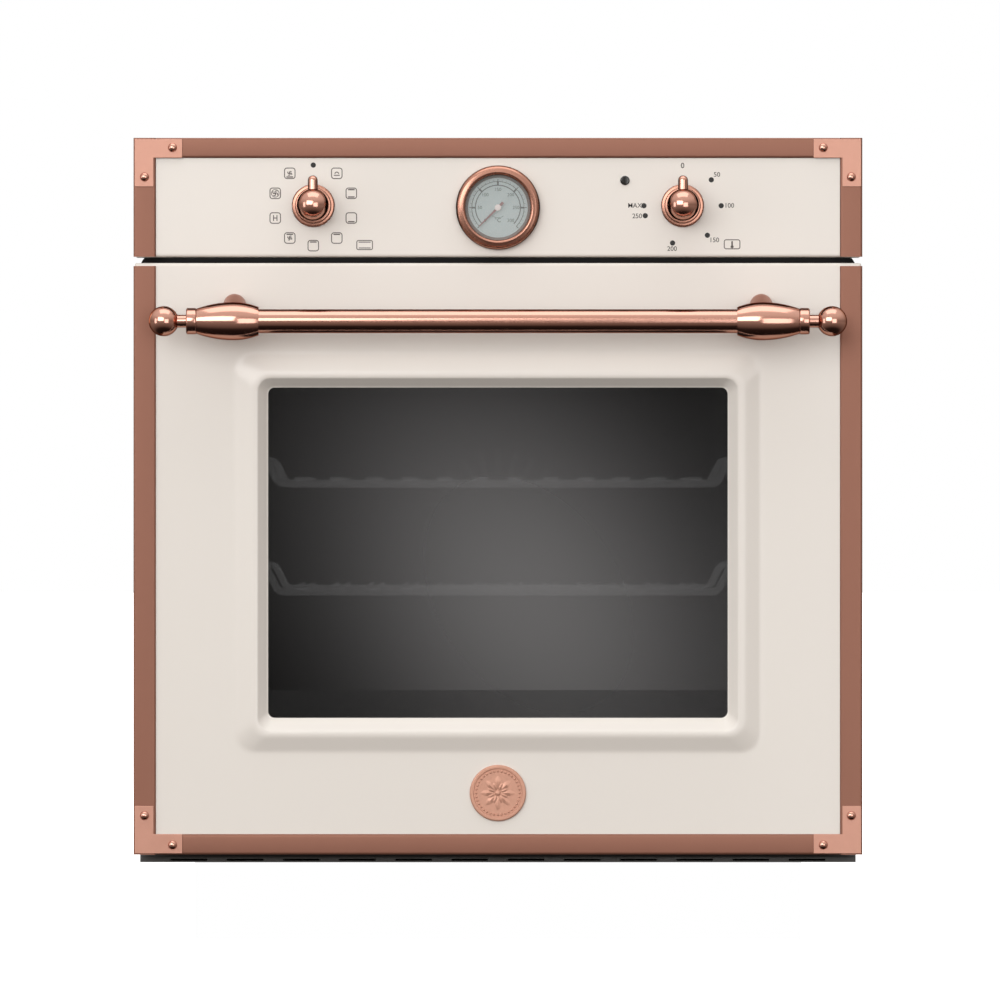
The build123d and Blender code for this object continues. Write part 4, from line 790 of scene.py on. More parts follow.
def wire_form() -> NodeShape:
    """A tree that turns edges into round wire with bent corners.

    Returns:
        The tree.
    """
    shape = NodeShape("bent_wire", [("Radius", "NodeSocketFloat", 0.002),
                                    ("Bend", "NodeSocketFloat", 0.006),
                                    ("Sides", "NodeSocketInt", 12)])
    tree, start = shape.tree, shape.start
    line = add_node(tree, "GeometryNodeMeshToCurve", None, {"Mesh": start.outputs["Geometry"]})
    bent = add_node(tree, "GeometryNodeFilletCurve", {"mode": "POLY", "Count": 6},
                    {"Curve": line.outputs[0], "Radius": start.outputs["Bend"]})
    ring = add_node(tree, "GeometryNodeCurvePrimitiveCircle", None,
                    {"Resolution": start.outputs["Sides"], "Radius": start.outputs["Radius"]})
    solid = add_node(tree, "GeometryNodeCurveToMesh", {"Fill Caps": True},
                     {"Curve": bent.outputs[0], "Profile Curve": ring.outputs[0]})
    shape.close(solid.outputs[0])
    return shape


ROUND = ring_repeat()
ROWS = row_repeat()
WIRE = wire_form()


# -------------------------------------------------------------- the front's layout
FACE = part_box("control_panel")[0].y


def at(x_mm: float, depth_mm: float, z_mm: float) -> Vector:
    """A place from millimetres; depth runs back from the enamelled face."""
    return Vector((mm(x_mm), FACE + mm(depth_mm), mm(z_mm)))


def edge_mm(node: str, axis: int, high: bool) -> float:
    """One side of a CAD node's box, in millimetres."""
    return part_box(node)[1 if high else 0][axis] * 1000.0


def middle_mm(node: str, axis: int) -> float:
    """The middle of a CAD node's box along one axis, in millimetres."""
    return (edge_mm(node, axis, True) + edge_mm(node, axis, False)) / 2.0


def clock(centre: Pair, clockwise: float, radius: float) -> Pair:
    """A place on a circle, from the angle clockwise from upright."""
    turn = math.radians(90.0 - clockwise)
    return centre[0] + radius * math.cos(turn), centre[1] + radius * math.sin(turn)


def eased(t: float, ease: float) -> float:
    """A straight ramp from nought to one with both ends rounded off.

    Args:
        t: The share of the way, from nought to one.
        ease: The share that each rounded end takes.
    Returns:
        The eased share.
    """
    full = 1.0 - ease
    if t < ease:
        return t * t / (2.0 * ease * full)
    if t > full:
        return 1.0 - (1.0 - t) ** 2 / (2.0 * ease * full)
    return (t - ease / 2.0) / full


@dataclass(frozen=True)
class Station:
    """One round-cornered outline of a pressed sheet at its own depth."""

    half_w: float
    z0: float
    z1: float
    radius: float
    depth: float

    def moved(self, inset: float, depth: float) -> "Station":
        """The same outline drawn in by an inset and put at another depth."""
        return Station(self.half_w - inset, self.z0 + inset, self.z1 - inset,
                       max(0.4, self.radius - inset), depth)

    def toward(self, other: "Station", share: float, depth: float) -> "Station":
        """The outline part of the way to another one.

        Args:
            other: The outline to move to.
            share: How far to move, from nought to one.
            depth: Its depth, in millimetres.
        Returns:
            The new outline.
        """
        keep = 1.0 - share
        return Station(self.half_w * keep + other.half_w * share, self.z0 * keep + other.z0 * share,
                       self.z1 * keep + other.z1 * share,
                       self.radius * keep + other.radius * share, depth)

    def loop(self) -> list[Point]:
        """The outline's points in the scene."""
        return round_rect(mm(self.half_w), mm(self.z0), mm(self.z1), mm(self.radius),
                          FACE + mm(self.depth))


@dataclass(frozen=True)
class PressedSkin:
    """A pan of enamelled sheet with round front edges, open at the back."""

    node: str
    returns: float
    sheet: float = 1.2
    edge_r: float = 2.0
    corner_r: float = 1.2
    edge_steps: int = 6
    flat_margin: float = 1.5

    def rim(self) -> Station:
        """The pan's outer outline."""
        return Station(edge_mm(self.node, 0, True), edge_mm(self.node, 2, False),
                       edge_mm(self.node, 2, True), self.corner_r, self.returns)

    def edge(self, grow: float) -> list[Station]:
        """Stations from the back of the returns round onto the face.

        Args:
            grow: How far the skin is offset inward.
        Returns:
            The stations, in order.
        """
        rim = self.rim()
        radius = self.edge_r - grow
        stations = [rim.moved(grow, self.returns)]
        for i in range(self.edge_steps + 1):
            turn = math.radians(90.0 * i / self.edge_steps)
            inset = grow + radius * (1.0 - math.cos(turn))
            stations.append(rim.moved(inset, grow + radius * (1.0 - math.sin(turn))))
        stations.append(rim.moved(self.edge_r + self.flat_margin, grow))
        return stations

    def middle(self, grow: float) -> list[Station]:
        """Stations from the face's edge towards its middle: none on a plain pan."""
        return []

    def build(self) -> bpy.types.Object:
        """Skins the outside, comes back along the inside and closes the end.

        Returns:
            The piece.
        """
        front = self.edge(0.0) + self.middle(0.0)
        back = self.edge(self.sheet) + self.middle(self.sheet)
        if self.middle(0.0):
            ring = front + back[::-1]
            return loft(self.node + "_skin", [s.loop() for s in ring + ring[:1]], IVORY)
        ring = back[::-1] + front
        return loft(self.node + "_skin", [s.loop() for s in ring], IVORY, True)


@dataclass(frozen=True)
class PanelSkin(PressedSkin):
    """The control panel's skin, pierced for the gauge's can."""

    hole_r: float = 28.7
    hole_reach: Pair = (-3.0, 6.0)

    def build(self) -> bpy.types.Object:
        """Makes the skin and cuts the round hole.

        Returns:
            The skin, which polished parts don't mirror.
        """
        skin = super().build()
        near, far = self.hole_reach
        outline = [(0.0, near), (self.hole_r, near), (self.hole_r, far), (0.0, far)]
        middle = at(0.0, 0.0, middle_mm("gauge_dial", 2))
        cut_away(skin, lathe("hole", outline, Axis.INWARD, middle, IVORY))
        skin.visible_glossy = False
        return skin


@dataclass(frozen=True)
class DoorSkin(PressedSkin):
    """The door's skin, with the raised surround pressed round its window."""

    surround: Pair = (434.0, 329.2)
    surround_r: float = 17.0
    window: Pair = (376.0, 270.3)
    window_r: float = 5.5
    crest: Pair = (394.0, 289.8)
    crest_r: float = 11.0
    crest_drop: float = 1.55
    crest_flat: float = 2.0
    crest_proud: float = 5.0
    centre_z: float = 254.4
    sill_depth: float = 4.0
    slope_ease: float = 0.22
    bevel_ease: float = 0.1
    steps: int = 14
    slot_w: float = 9.0
    slot_depth: float = 8.0
    slot_top: float = 38.0
    slot_past: float = 9.0
    slot_below: float = 3.0
    hinge_in: float = 7.0

    def framed(self, size: Pair, radius: float, drop: float, depth: float) -> Station:
        """A station from an opening's width and height."""
        z = self.centre_z - drop
        return Station(size[0] / 2, z - size[1] / 2, z + size[1] / 2, radius, depth)

    def middle(self, grow: float) -> list[Station]:
        """Foot of the surround, its slope, the crest and the bevel to the glass.

        Args:
            grow: How far the skin is offset inward.
        Returns:
            The stations, in order.
        """
        foot = self.framed(self.surround, self.surround_r, 0.0, grow)
        crest = self.framed(self.crest, self.crest_r, self.crest_drop, 0.0)
        brow = crest.moved(-self.crest_flat, 0.0)
        sill = self.framed(self.window, self.window_r, 0.0, self.sill_depth)
        crest, sill = crest.moved(-grow, 0.0), sill.moved(-grow, self.sill_depth)
        top = grow - self.crest_proud
        stations = [foot.moved(-1.0, grow)]
        for i in range(self.steps + 1):
            share = i / self.steps
            depth = grow - self.crest_proud * eased(share, self.slope_ease)
            stations.append(foot.toward(brow, share, depth))
        for i in range(self.steps + 1):
            share = i / self.steps
            depth = top + (self.sill_depth - top) * eased(share, self.bevel_ease)
            stations.append(crest.toward(sill, share, depth))
        return stations

    def build(self) -> bpy.types.Object:
        """Makes the skin and cuts the slots for the hinge arms at its toe.

        Returns:
            The piece.
        """
        skin = super().build()
        for side in (-1, 1):
            x = side * self.hinge_x()
            half = self.slot_w / 2
            cutter = block("cutter", (x - half, x + half),
                           (self.slot_depth, self.returns + self.slot_past),
                           (self.rim().z0 - self.slot_below, self.slot_top), IVORY)
            cut_away(skin, cutter)
        return skin

    def hinge_x(self) -> float:
        """How far out the hinge arms stand."""
        return edge_mm("hinge_channels", 0, True) - self.hinge_in


def block(name: str, x: Pair, depth: Pair, z: Pair, finish: Finish) -> bpy.types.Object:
    """A plain block between two corners, in millimetres.

    Args:
        name: The piece's name.
        x: Its left and right.
        depth: Its front and back.
        z: Its bottom and top.
        finish: The finish.
    Returns:
        The block.
    """
    outline = [(mm(x[0]), mm(z[0])), (mm(x[1]), mm(z[0])), (mm(x[1]), mm(z[1])),
               (mm(x[0]), mm(z[1]))]
    return prism(name, outline, FACE + mm(depth[0]), FACE + mm(depth[1]), finish)


@dataclass(frozen=True)
class EdgedStrip:
    """A flat metal strip on the enamel with both long front edges rolled over."""

    proud: float = 2.0
    roll_w: float = 2.2
    roll_h: float = 1.6
    steps: int = 6

    def section(self, low: float, high: float) -> list[Pair]:
        """The strip's cross-section as (across, depth) points.

        Args:
            low: Where the strip starts.
            high: Where it ends.
        Returns:
            The points of the section.
        """
        left = [(low + self.roll_w * (1.0 - math.cos(t)), -(self.proud - self.roll_h)
                 - self.roll_h * math.sin(t)) for t in self.turns()]
        right = [(high + low - a, d) for a, d in reversed(left)]
        return [(low, 0.0)] + left + right + [(high, 0.0)]

    def turns(self) -> list[float]:
        """The steps of the quarter turn over an edge."""
        return [math.pi / 2.0 * i / self.steps for i in range(self.steps + 1)]

    def build(self, name: str, x: Pair, z: Pair) -> bpy.types.Object:
        """Makes the strip along its longer side.

        Args:
            name: The strip's name.
            x: Its left and right ends.
            z: Its bottom and top.
        Returns:
            The strip.
        """
        level = x[1] - x[0] > z[1] - z[0]
        section = self.section(*(z if level else x))
        loops = [[tuple(at(end, d, a) if level else at(a, d, end)) for a, d in section]
                 for end in (x if level else z)]
        return loft(name, loops, TRIM, True)


@dataclass(frozen=True)
class FrontTrim:
    """The copper strips, corner brackets and domed screws of one panel."""

    name: str
    body: str
    inward: int
    level_h: float
    strip_w: float = 18.3
    join_gap: float = 0.2
    bracket_arm: float = 39.9
    bracket_in: float = 1.0
    bracket_t: float = 0.8
    strip_t: float = 2.0
    side_w: float = 15.4
    side_in: float = 1.0
    head_r: float = 3.75
    head_h: float = 2.2
    screw_side: float = 9.1
    screw_near: float = 8.0
    screw_far: float = 32.0

    def edge_z(self) -> float:
        """Height of the outer edge that carries the level strip."""
        return edge_mm(self.name + "_trim", 2, self.inward < 0)

    def strips(self) -> None:
        """Makes the two upright strips and the level one."""
        node = self.name + "_trim"
        half, low, high = (edge_mm(node, 0, True), edge_mm(node, 2, False), edge_mm(node, 2, True))
        edge = self.edge_z()
        inner = edge + self.inward * self.level_h
        level_x = half - self.strip_w - self.join_gap
        maker = EdgedStrip()
        whole = joined(node + "_strips", [
            maker.build("a", (-half, self.strip_w - half), (low, high)),
            maker.build("b", (half - self.strip_w, half), (low, high)),
            maker.build("c", (-level_x, level_x), (min(edge, inner), max(edge, inner)))])
        settle(whole, self.body, "trim_copper", node)

    def brackets(self) -> None:
        """Makes the pair of L brackets with broken edges."""
        node = self.name + "_brackets"
        half = edge_mm(self.name + "_trim", 0, True)
        edge = self.edge_z() + self.inward * self.bracket_in
        arm_z = self.edge_z() + self.inward * self.bracket_arm
        level_z = self.edge_z() + self.inward * self.level_h
        out, arm = half - self.bracket_in, half - self.bracket_arm
        side_out = half - self.side_in
        side_in = side_out - self.side_w
        outline = [(arm, edge), (out, edge), (out, level_z), (side_out, level_z),
                   (side_out, arm_z), (side_in, arm_z), (side_in, level_z), (arm, level_z)]
        pieces = []
        for side in (-1, 1):
            shape = [(side * mm(x), mm(z)) for x, z in outline]
            plate = prism("bracket", shape, FACE - mm(self.strip_t + self.bracket_t),
                          FACE - mm(self.strip_t), BRACKET)
            pieces.append(soften(plate, 0.35, 2))
        settle(joined(node + "_plates", pieces), self.body, "bracket_copper", node)

    def screws(self) -> None:
        """Repeats a domed screw head at the four places."""
        node = self.name + "_bracket_screws"
        seat = -self.strip_t - self.bracket_t
        dome_r = (self.head_r ** 2 + self.head_h ** 2) / (2.0 * self.head_h)
        rise = math.degrees(math.asin(self.head_r / dome_r))
        crown = arc(0.0, seat - self.head_h + dome_r, dome_r, 270.0, 270.0 + rise, 8)
        profile = [(0.0, seat)] + [(self.head_r, seat)] + crown[::-1]
        half = edge_mm(self.name + "_trim", 0, True)
        z = self.edge_z()
        heads = []
        for x, along in ((half - self.screw_side, self.screw_far),
                         (half - self.screw_far, self.screw_near)):
            start = at(-x, 0.0, z + self.inward * along)
            head = lathe("head", profile, Axis.INWARD, start, COPPER, 32)
            heads.append(ROWS.run(head, COPPER, Count_A=2, Count_B=1,
                                  Step_A=(mm(2.0 * x), 0.0, 0.0)))
        settle(joined(node + "_heads", heads), self.body, "bracket_copper", node)

    def build(self) -> None:
        """Makes all three kinds of piece."""
        self.strips()
        self.brackets()
        self.screws()


# -------------------------------------------------------------------- printing
@dataclass
class Print:
    """Thin fired ink on a flat surface: strokes, spots and numbers."""

    name: str
    depth: float
    proud: float = 0.05
    points: list[Point] = field(default_factory=list)
    faces: list[list[int]] = field(default_factory=list)

    def area(self, outline: Sequence[Pair]) -> None:
        """Adds a filled shape from (x, z) corners in millimetres.

        Args:
            outline: Its (x, z) corners, in millimetres.
        """
        start, count = len(self.points), len(outline)
        for depth in (self.depth - self.proud, self.depth - 0.01):
            self.points += [tuple(at(x, depth, z)) for x, z in outline]
        self.faces.append([start + i for i in range(count)])
        self.faces.append([start + count + i for i in reversed(range(count))])
        for i in range(count):
            j = (i + 1) % count
            self.faces.append([start + i, start + j, start + count + j, start + count + i])

    def spot(self, x: float, z: float, radius: float, steps: int = 32) -> None:
        """Adds a round spot."""
        self.area(arc(x, z, radius, 0.0, 360.0 - 360.0 / steps, steps - 1))

    def stroke(self, route: Sequence[Pair], width: float, closed: bool = False) -> None:
        """Adds a line of real width along a route, mitred at its corners.

        Args:
            route: The line's (x, z) points, in millimetres.
            width: The line's width, in millimetres.
            closed: Whether its ends meet.
        """
        spots = [Vector(p) for p in route]
        count = len(spots)
        sides: list[tuple[Vector, Vector]] = []
        for i, spot in enumerate(spots):
            before = spots[i - 1] if i or closed else spot
            after = spots[(i + 1) % count] if i < count - 1 or closed else spot
            ways = [w.normalized() for w in (spot - before, after - spot) if w.length > 1e-6]
            way = sum(ways, Vector((0.0, 0.0))).normalized()
            side = Vector((-way.y, way.x))
            reach = width / 2.0 / max(0.4, side.dot(Vector((-ways[0].y, ways[0].x))))
            sides.append((spot + side * reach, spot - side * reach))
        for i in range(count if closed else count - 1):
            left, right = sides[i], sides[(i + 1) % count]
            self.area([tuple(left[0]), tuple(right[0]), tuple(right[1]), tuple(left[1])])

    def box(self, x: float, z: float, width: float, height: float, radius: float,
            line: float) -> None:
        """Adds the outline of a box with round corners."""
        loop = round_rect(width / 2.0, z - height / 2.0, z + height / 2.0, radius, 0.0, 5)
        self.stroke([(p[0] + x, p[2]) for p in loop], line, True)

    def ring(self, x: float, z: float, radius: float, span: Pair, line: float) -> None:
        """Adds part of a circle; the span is in degrees, a full turn closes it.

        Args:
            x: Its middle's place across.
            z: Its middle's height.
            radius: The radius.
            span: First and last angle, in degrees.
            line: The line's width.
        """
        turn = span[1] - span[0]
        steps = max(6, int(turn / 7.0))
        whole = turn > 359.0
        last = span[1] - (turn / (steps + 1) if whole else 0.0)
        self.stroke(arc(x, z, radius, span[0], last, steps), line, whole)

    def text(self, words: str, x: float, z: float, height: float) -> None:
        """Adds a number set in the built-in typeface.

        Args:
            words: The digits or unit.
            x: Its middle's place across.
            z: Its middle's height.
            height: The digits' height, in millimetres.
        """
        curve = bpy.data.curves.new("number", "FONT")
        curve.body = words
        curve.size = mm(height) / DIGIT_SHARE
        curve.align_x = "CENTER"
        curve.align_y = "CENTER"
        curve.extrude = mm(self.proud) / 2.0
        curve.offset = mm(height) * INK_SPREAD
        curve.resolution_u = 4
        holder = bpy.data.objects.new("number", curve)
        bpy.context.collection.objects.link(holder)
        bpy.context.view_layer.update()
        view = bpy.context.evaluated_depsgraph_get()
        mesh = bpy.data.meshes.new_from_object(holder.evaluated_get(view))
        face_on = Matrix.Rotation(math.radians(90.0), 4, "X")
        place = Matrix.Translation(at(x, self.depth - self.proud / 2.0 - 0.005, z))
        mesh.transform(place @ face_on)
        start = len(self.points)
        self.points += [tuple(v.co) for v in mesh.vertices]
        self.faces += [[start + i for i in face.vertices] for face in mesh.polygons]
        bpy.data.objects.remove(holder, do_unlink=True)
        bpy.data.meshes.remove(mesh)

    def build(self, finish: Finish, body: str, slot: str) -> bpy.types.Object:
        """Makes the mesh of everything printed so far.

        Args:
            finish: The finish.
            body: The body it rides on.
            slot: Its material slot.
        Returns:
            The piece.
        """
        mesh = bpy.data.meshes.new(self.name)
        mesh.from_pydata(self.points, [], self.faces)
        piece = bpy.data.objects.new(self.name, mesh)
        mesh.materials.append(finish.make())
        bpy.context.collection.objects.link(piece)
        return settle(piece, body, slot)


class Function(Enum):
    """What each symbol round the selector shows."""

    DEFROST = 36.0
    TOP_AND_BOTTOM = 72.0
    BOTTOM = 108.0
    GRILL = 144.0
    WIDE_GRILL = 180.0
    FAN_GRILL = 216.0
    TURBO = 252.0
    FAN = 288.0
    FAN_BOTTOM = 324.0


@dataclass(frozen=True)
class PanelPrint:
    """The symbols round the selector and the numbers round the thermostat."""

    circle_r: float = 32.7
    box_size: float = 8.6
    box_r: float = 2.0
    line: float = 0.75
    spot_r: float = 2.15
    number_h: float = 4.6
    sign_w: float = 12.8
    sign_h: float = 7.4

    def symbol(self, ink: Print, kind: Function, x: float, z: float) -> None:
        """Draws one function symbol in its box.

        Args:
            ink: The print to add to.
            kind: The symbol.
            x: Its middle's place across.
            z: Its middle's height.
        """
        ink.box(x, z, self.box_size, self.box_size, self.box_r, self.line)
        bar, reach = 1.0, 2.7
        top, low = z + 3.0, z - 3.0
        if kind in (Function.TOP_AND_BOTTOM, Function.GRILL, Function.WIDE_GRILL,
                    Function.FAN_GRILL):
            ink.stroke([(x - reach, top), (x + reach, top)], bar)
        if kind in (Function.TOP_AND_BOTTOM, Function.BOTTOM, Function.FAN_BOTTOM):
            ink.stroke([(x - reach, low), (x + reach, low)], bar)
        if kind is Function.DEFROST:
            ink.ring(x, z - 0.5, 1.5, (0.0, 180.0), self.line)
            ink.stroke([(x - 2.4, z - 1.6), (x + 2.4, z - 1.6)], self.line)
        if kind is Function.TURBO:
            for side in (-1.4, 1.4):
                ink.stroke([(x + side, z - 2.4), (x + side, z + 2.4)], self.line)
            ink.stroke([(x - 1.4, z), (x + 1.4, z)], self.line)
        if kind in (Function.FAN, Function.FAN_GRILL, Function.FAN_BOTTOM):
            self.fan(ink, x, z, 2.3 if kind is Function.FAN else 1.9)
        if kind is Function.FAN:
            ink.ring(x, z, 3.1, (0.0, 360.0), self.line * 0.7)

    def fan(self, ink: Print, x: float, z: float, reach: float) -> None:
        """Draws four curved blades.

        Args:
            ink: The print to add to.
            x: Its middle's place across.
            z: Its middle's height.
            reach: How far the blades reach.
        """
        for turn in range(0, 360, 90):
            way = math.radians(turn + 45.0)
            cx, cz = x + reach / 2.0 * math.cos(way), z + reach / 2.0 * math.sin(way)
            ink.ring(cx, cz, reach / 2.0, (turn + 45.0, turn + 225.0), self.line)

    def build(self) -> None:
        """Prints both dials, the two boxed signs and the numbers."""
        left = (middle_mm("selector_spindle", 0), middle_mm("selector_spindle", 2))
        right = (middle_mm("thermostat_spindle", 0), middle_mm("thermostat_spindle", 2))
        grey = Print("panel_symbols", 0.0)
        black = Print("panel_numbers", 0.0)
        for kind in Function:
            self.symbol(grey, kind, *clock(left, kind.value, self.circle_r))
        black.spot(*clock(left, 0.0, self.circle_r + 0.5), self.spot_r)
        self.boxed_rack(grey, left[0] + 42.0, left[1] - 32.2)
        self.boxed_bulb(grey, right[0] + 40.5, right[1] - 31.6)
        black.text("0", *clock(right, 0.0, 32.6), self.number_h)
        # Each number's angle clockwise, its digits and its shift from the spot.
        marks = ((48.0, "50", (4.6, 4.2)), (90.0, "100", (6.6, 0.0)), (140.0, "150", (5.6, -4.0)),
                 (195.0, "200", (-0.4, -4.8)), (255.0, "250", (-6.6, -0.4)),
                 (270.0, "MAX", (-7.4, 0.0)))
        for clockwise, words, shift in marks:
            x, z = clock(right, clockwise, 31.6)
            black.spot(x, z, self.spot_r)
            black.text(words, x + shift[0], z + shift[1], self.number_h * 0.86)
        grey.build(GREY_INK, "chassis", "ivory_enamel")
        black.build(INK, "chassis", "ivory_enamel")

    def boxed_rack(self, ink: Print, x: float, z: float) -> None:
        """A wide box with a double line above and below.

        Args:
            ink: The print to add to.
            x: Its middle's place across.
            z: Its middle's height.
        """
        ink.box(x, z, self.sign_w, self.sign_h, 1.3, self.line)
        for rise in (-2.4, 2.4):
            ink.stroke([(x - 4.9, z + rise), (x + 4.9, z + rise)], self.line)

    def boxed_bulb(self, ink: Print, x: float, z: float) -> None:
        """A wide box with a small thermometer.

        Args:
            ink: The print to add to.
            x: Its middle's place across.
            z: Its middle's height.
        """
        ink.box(x, z, self.sign_w, self.sign_h, 1.6, self.line)
        ink.stroke([(x, z - 1.6), (x, z + 2.6)], 1.3)
        ink.spot(x, z - 2.0, 1.25, 20)


# ------------------------------------------------------------ controls and gauge
@dataclass(frozen=True)
class BallKnob:
    """A polished ball on a flared foot, with a peg that points to the setting."""

    body: str
    ball_r: float = 13.0
    out: float = 24.0
    base_r: float = 12.5
    base_out: float = 6.0
    neck_r: float = 9.0
    peg_r: float = 4.0
    peg_reach: float = 24.0
    ring_r: float = 17.5
    ring_t: float = 5.0
    bore_r: float = 5.0
    roll_r: float = 1.6
    roll_at: float = 1.8
    dip: Pair = (14.8, -3.5)
    lip_r: float = 1.0
    lip_at: float = 13.6

    def centre(self) -> Vector:
        """The spindle's axis at the enamelled face."""
        node = self.body + "_spindle"
        return at(middle_mm(node, 0), 0.0, middle_mm(node, 2))

    def profile(self) -> list[Pair]:
        """The outline of foot, neck and ball.

        Returns:
            The outline, as (radius, along) pairs.
        """
        meet = math.degrees(math.asin(self.neck_r / self.ball_r))
        ball = arc(0.0, -self.out, self.ball_r, 90.0 - meet, -90.0, 28)
        foot = [(0.0, -self.base_out), (self.base_r - 0.4, -self.base_out),
                (self.base_r, -self.base_out - 0.4), (self.base_r, -self.base_out - 1.6),
                (self.base_r - 0.5, -self.base_out - 2.2), (10.2, -self.base_out - 4.4),
                (self.neck_r + 0.2, -self.base_out - 6.0)]
        return foot + ball[:-1] + [(0.0, -self.out - self.ball_r)]

    def build(self) -> None:
        """Makes the knob, its peg and the ring on the panel."""
        centre = self.centre()
        ball = lathe("ball", self.profile(), Axis.INWARD, centre, COPPER, 128, 40.0)
        top = self.peg_reach - self.peg_r
        tip = arc(0.0, top, self.peg_r, 0.0, 90.0, 10)
        outline = [(0.0, 2.0), (self.peg_r, 2.0)] + tip[:-1] + [(0.0, self.peg_reach)]
        peg = lathe("peg", outline, Axis.UP, centre + Vector((0.0, -mm(self.out - 2.0), 0.0)),
                    COPPER, 48)
        knob = joined(self.body + "_knob_polished", [ball, peg])
        settle(knob, self.body, "polished_copper", self.body + "_knob")
        roll = arc(self.ring_r - self.roll_r, -self.roll_at, self.roll_r, 0.0, -90.0, 6)
        lip = arc(self.lip_at, -self.ring_t + self.lip_r, self.lip_r, 0.0, -90.0, 5)
        ring = ([(self.bore_r, 0.0), (self.ring_r, 0.0)] + roll + [self.dip] + lip
                + [(self.bore_r, -self.ring_t), (self.bore_r, 0.0)])
        rose = lathe(self.body + "_rose", ring, Axis.INWARD, centre, RING_COPPER, 128)
        rose.visible_glossy = False
        settle(rose, "chassis", "polished_copper", self.body + "_escutcheon")


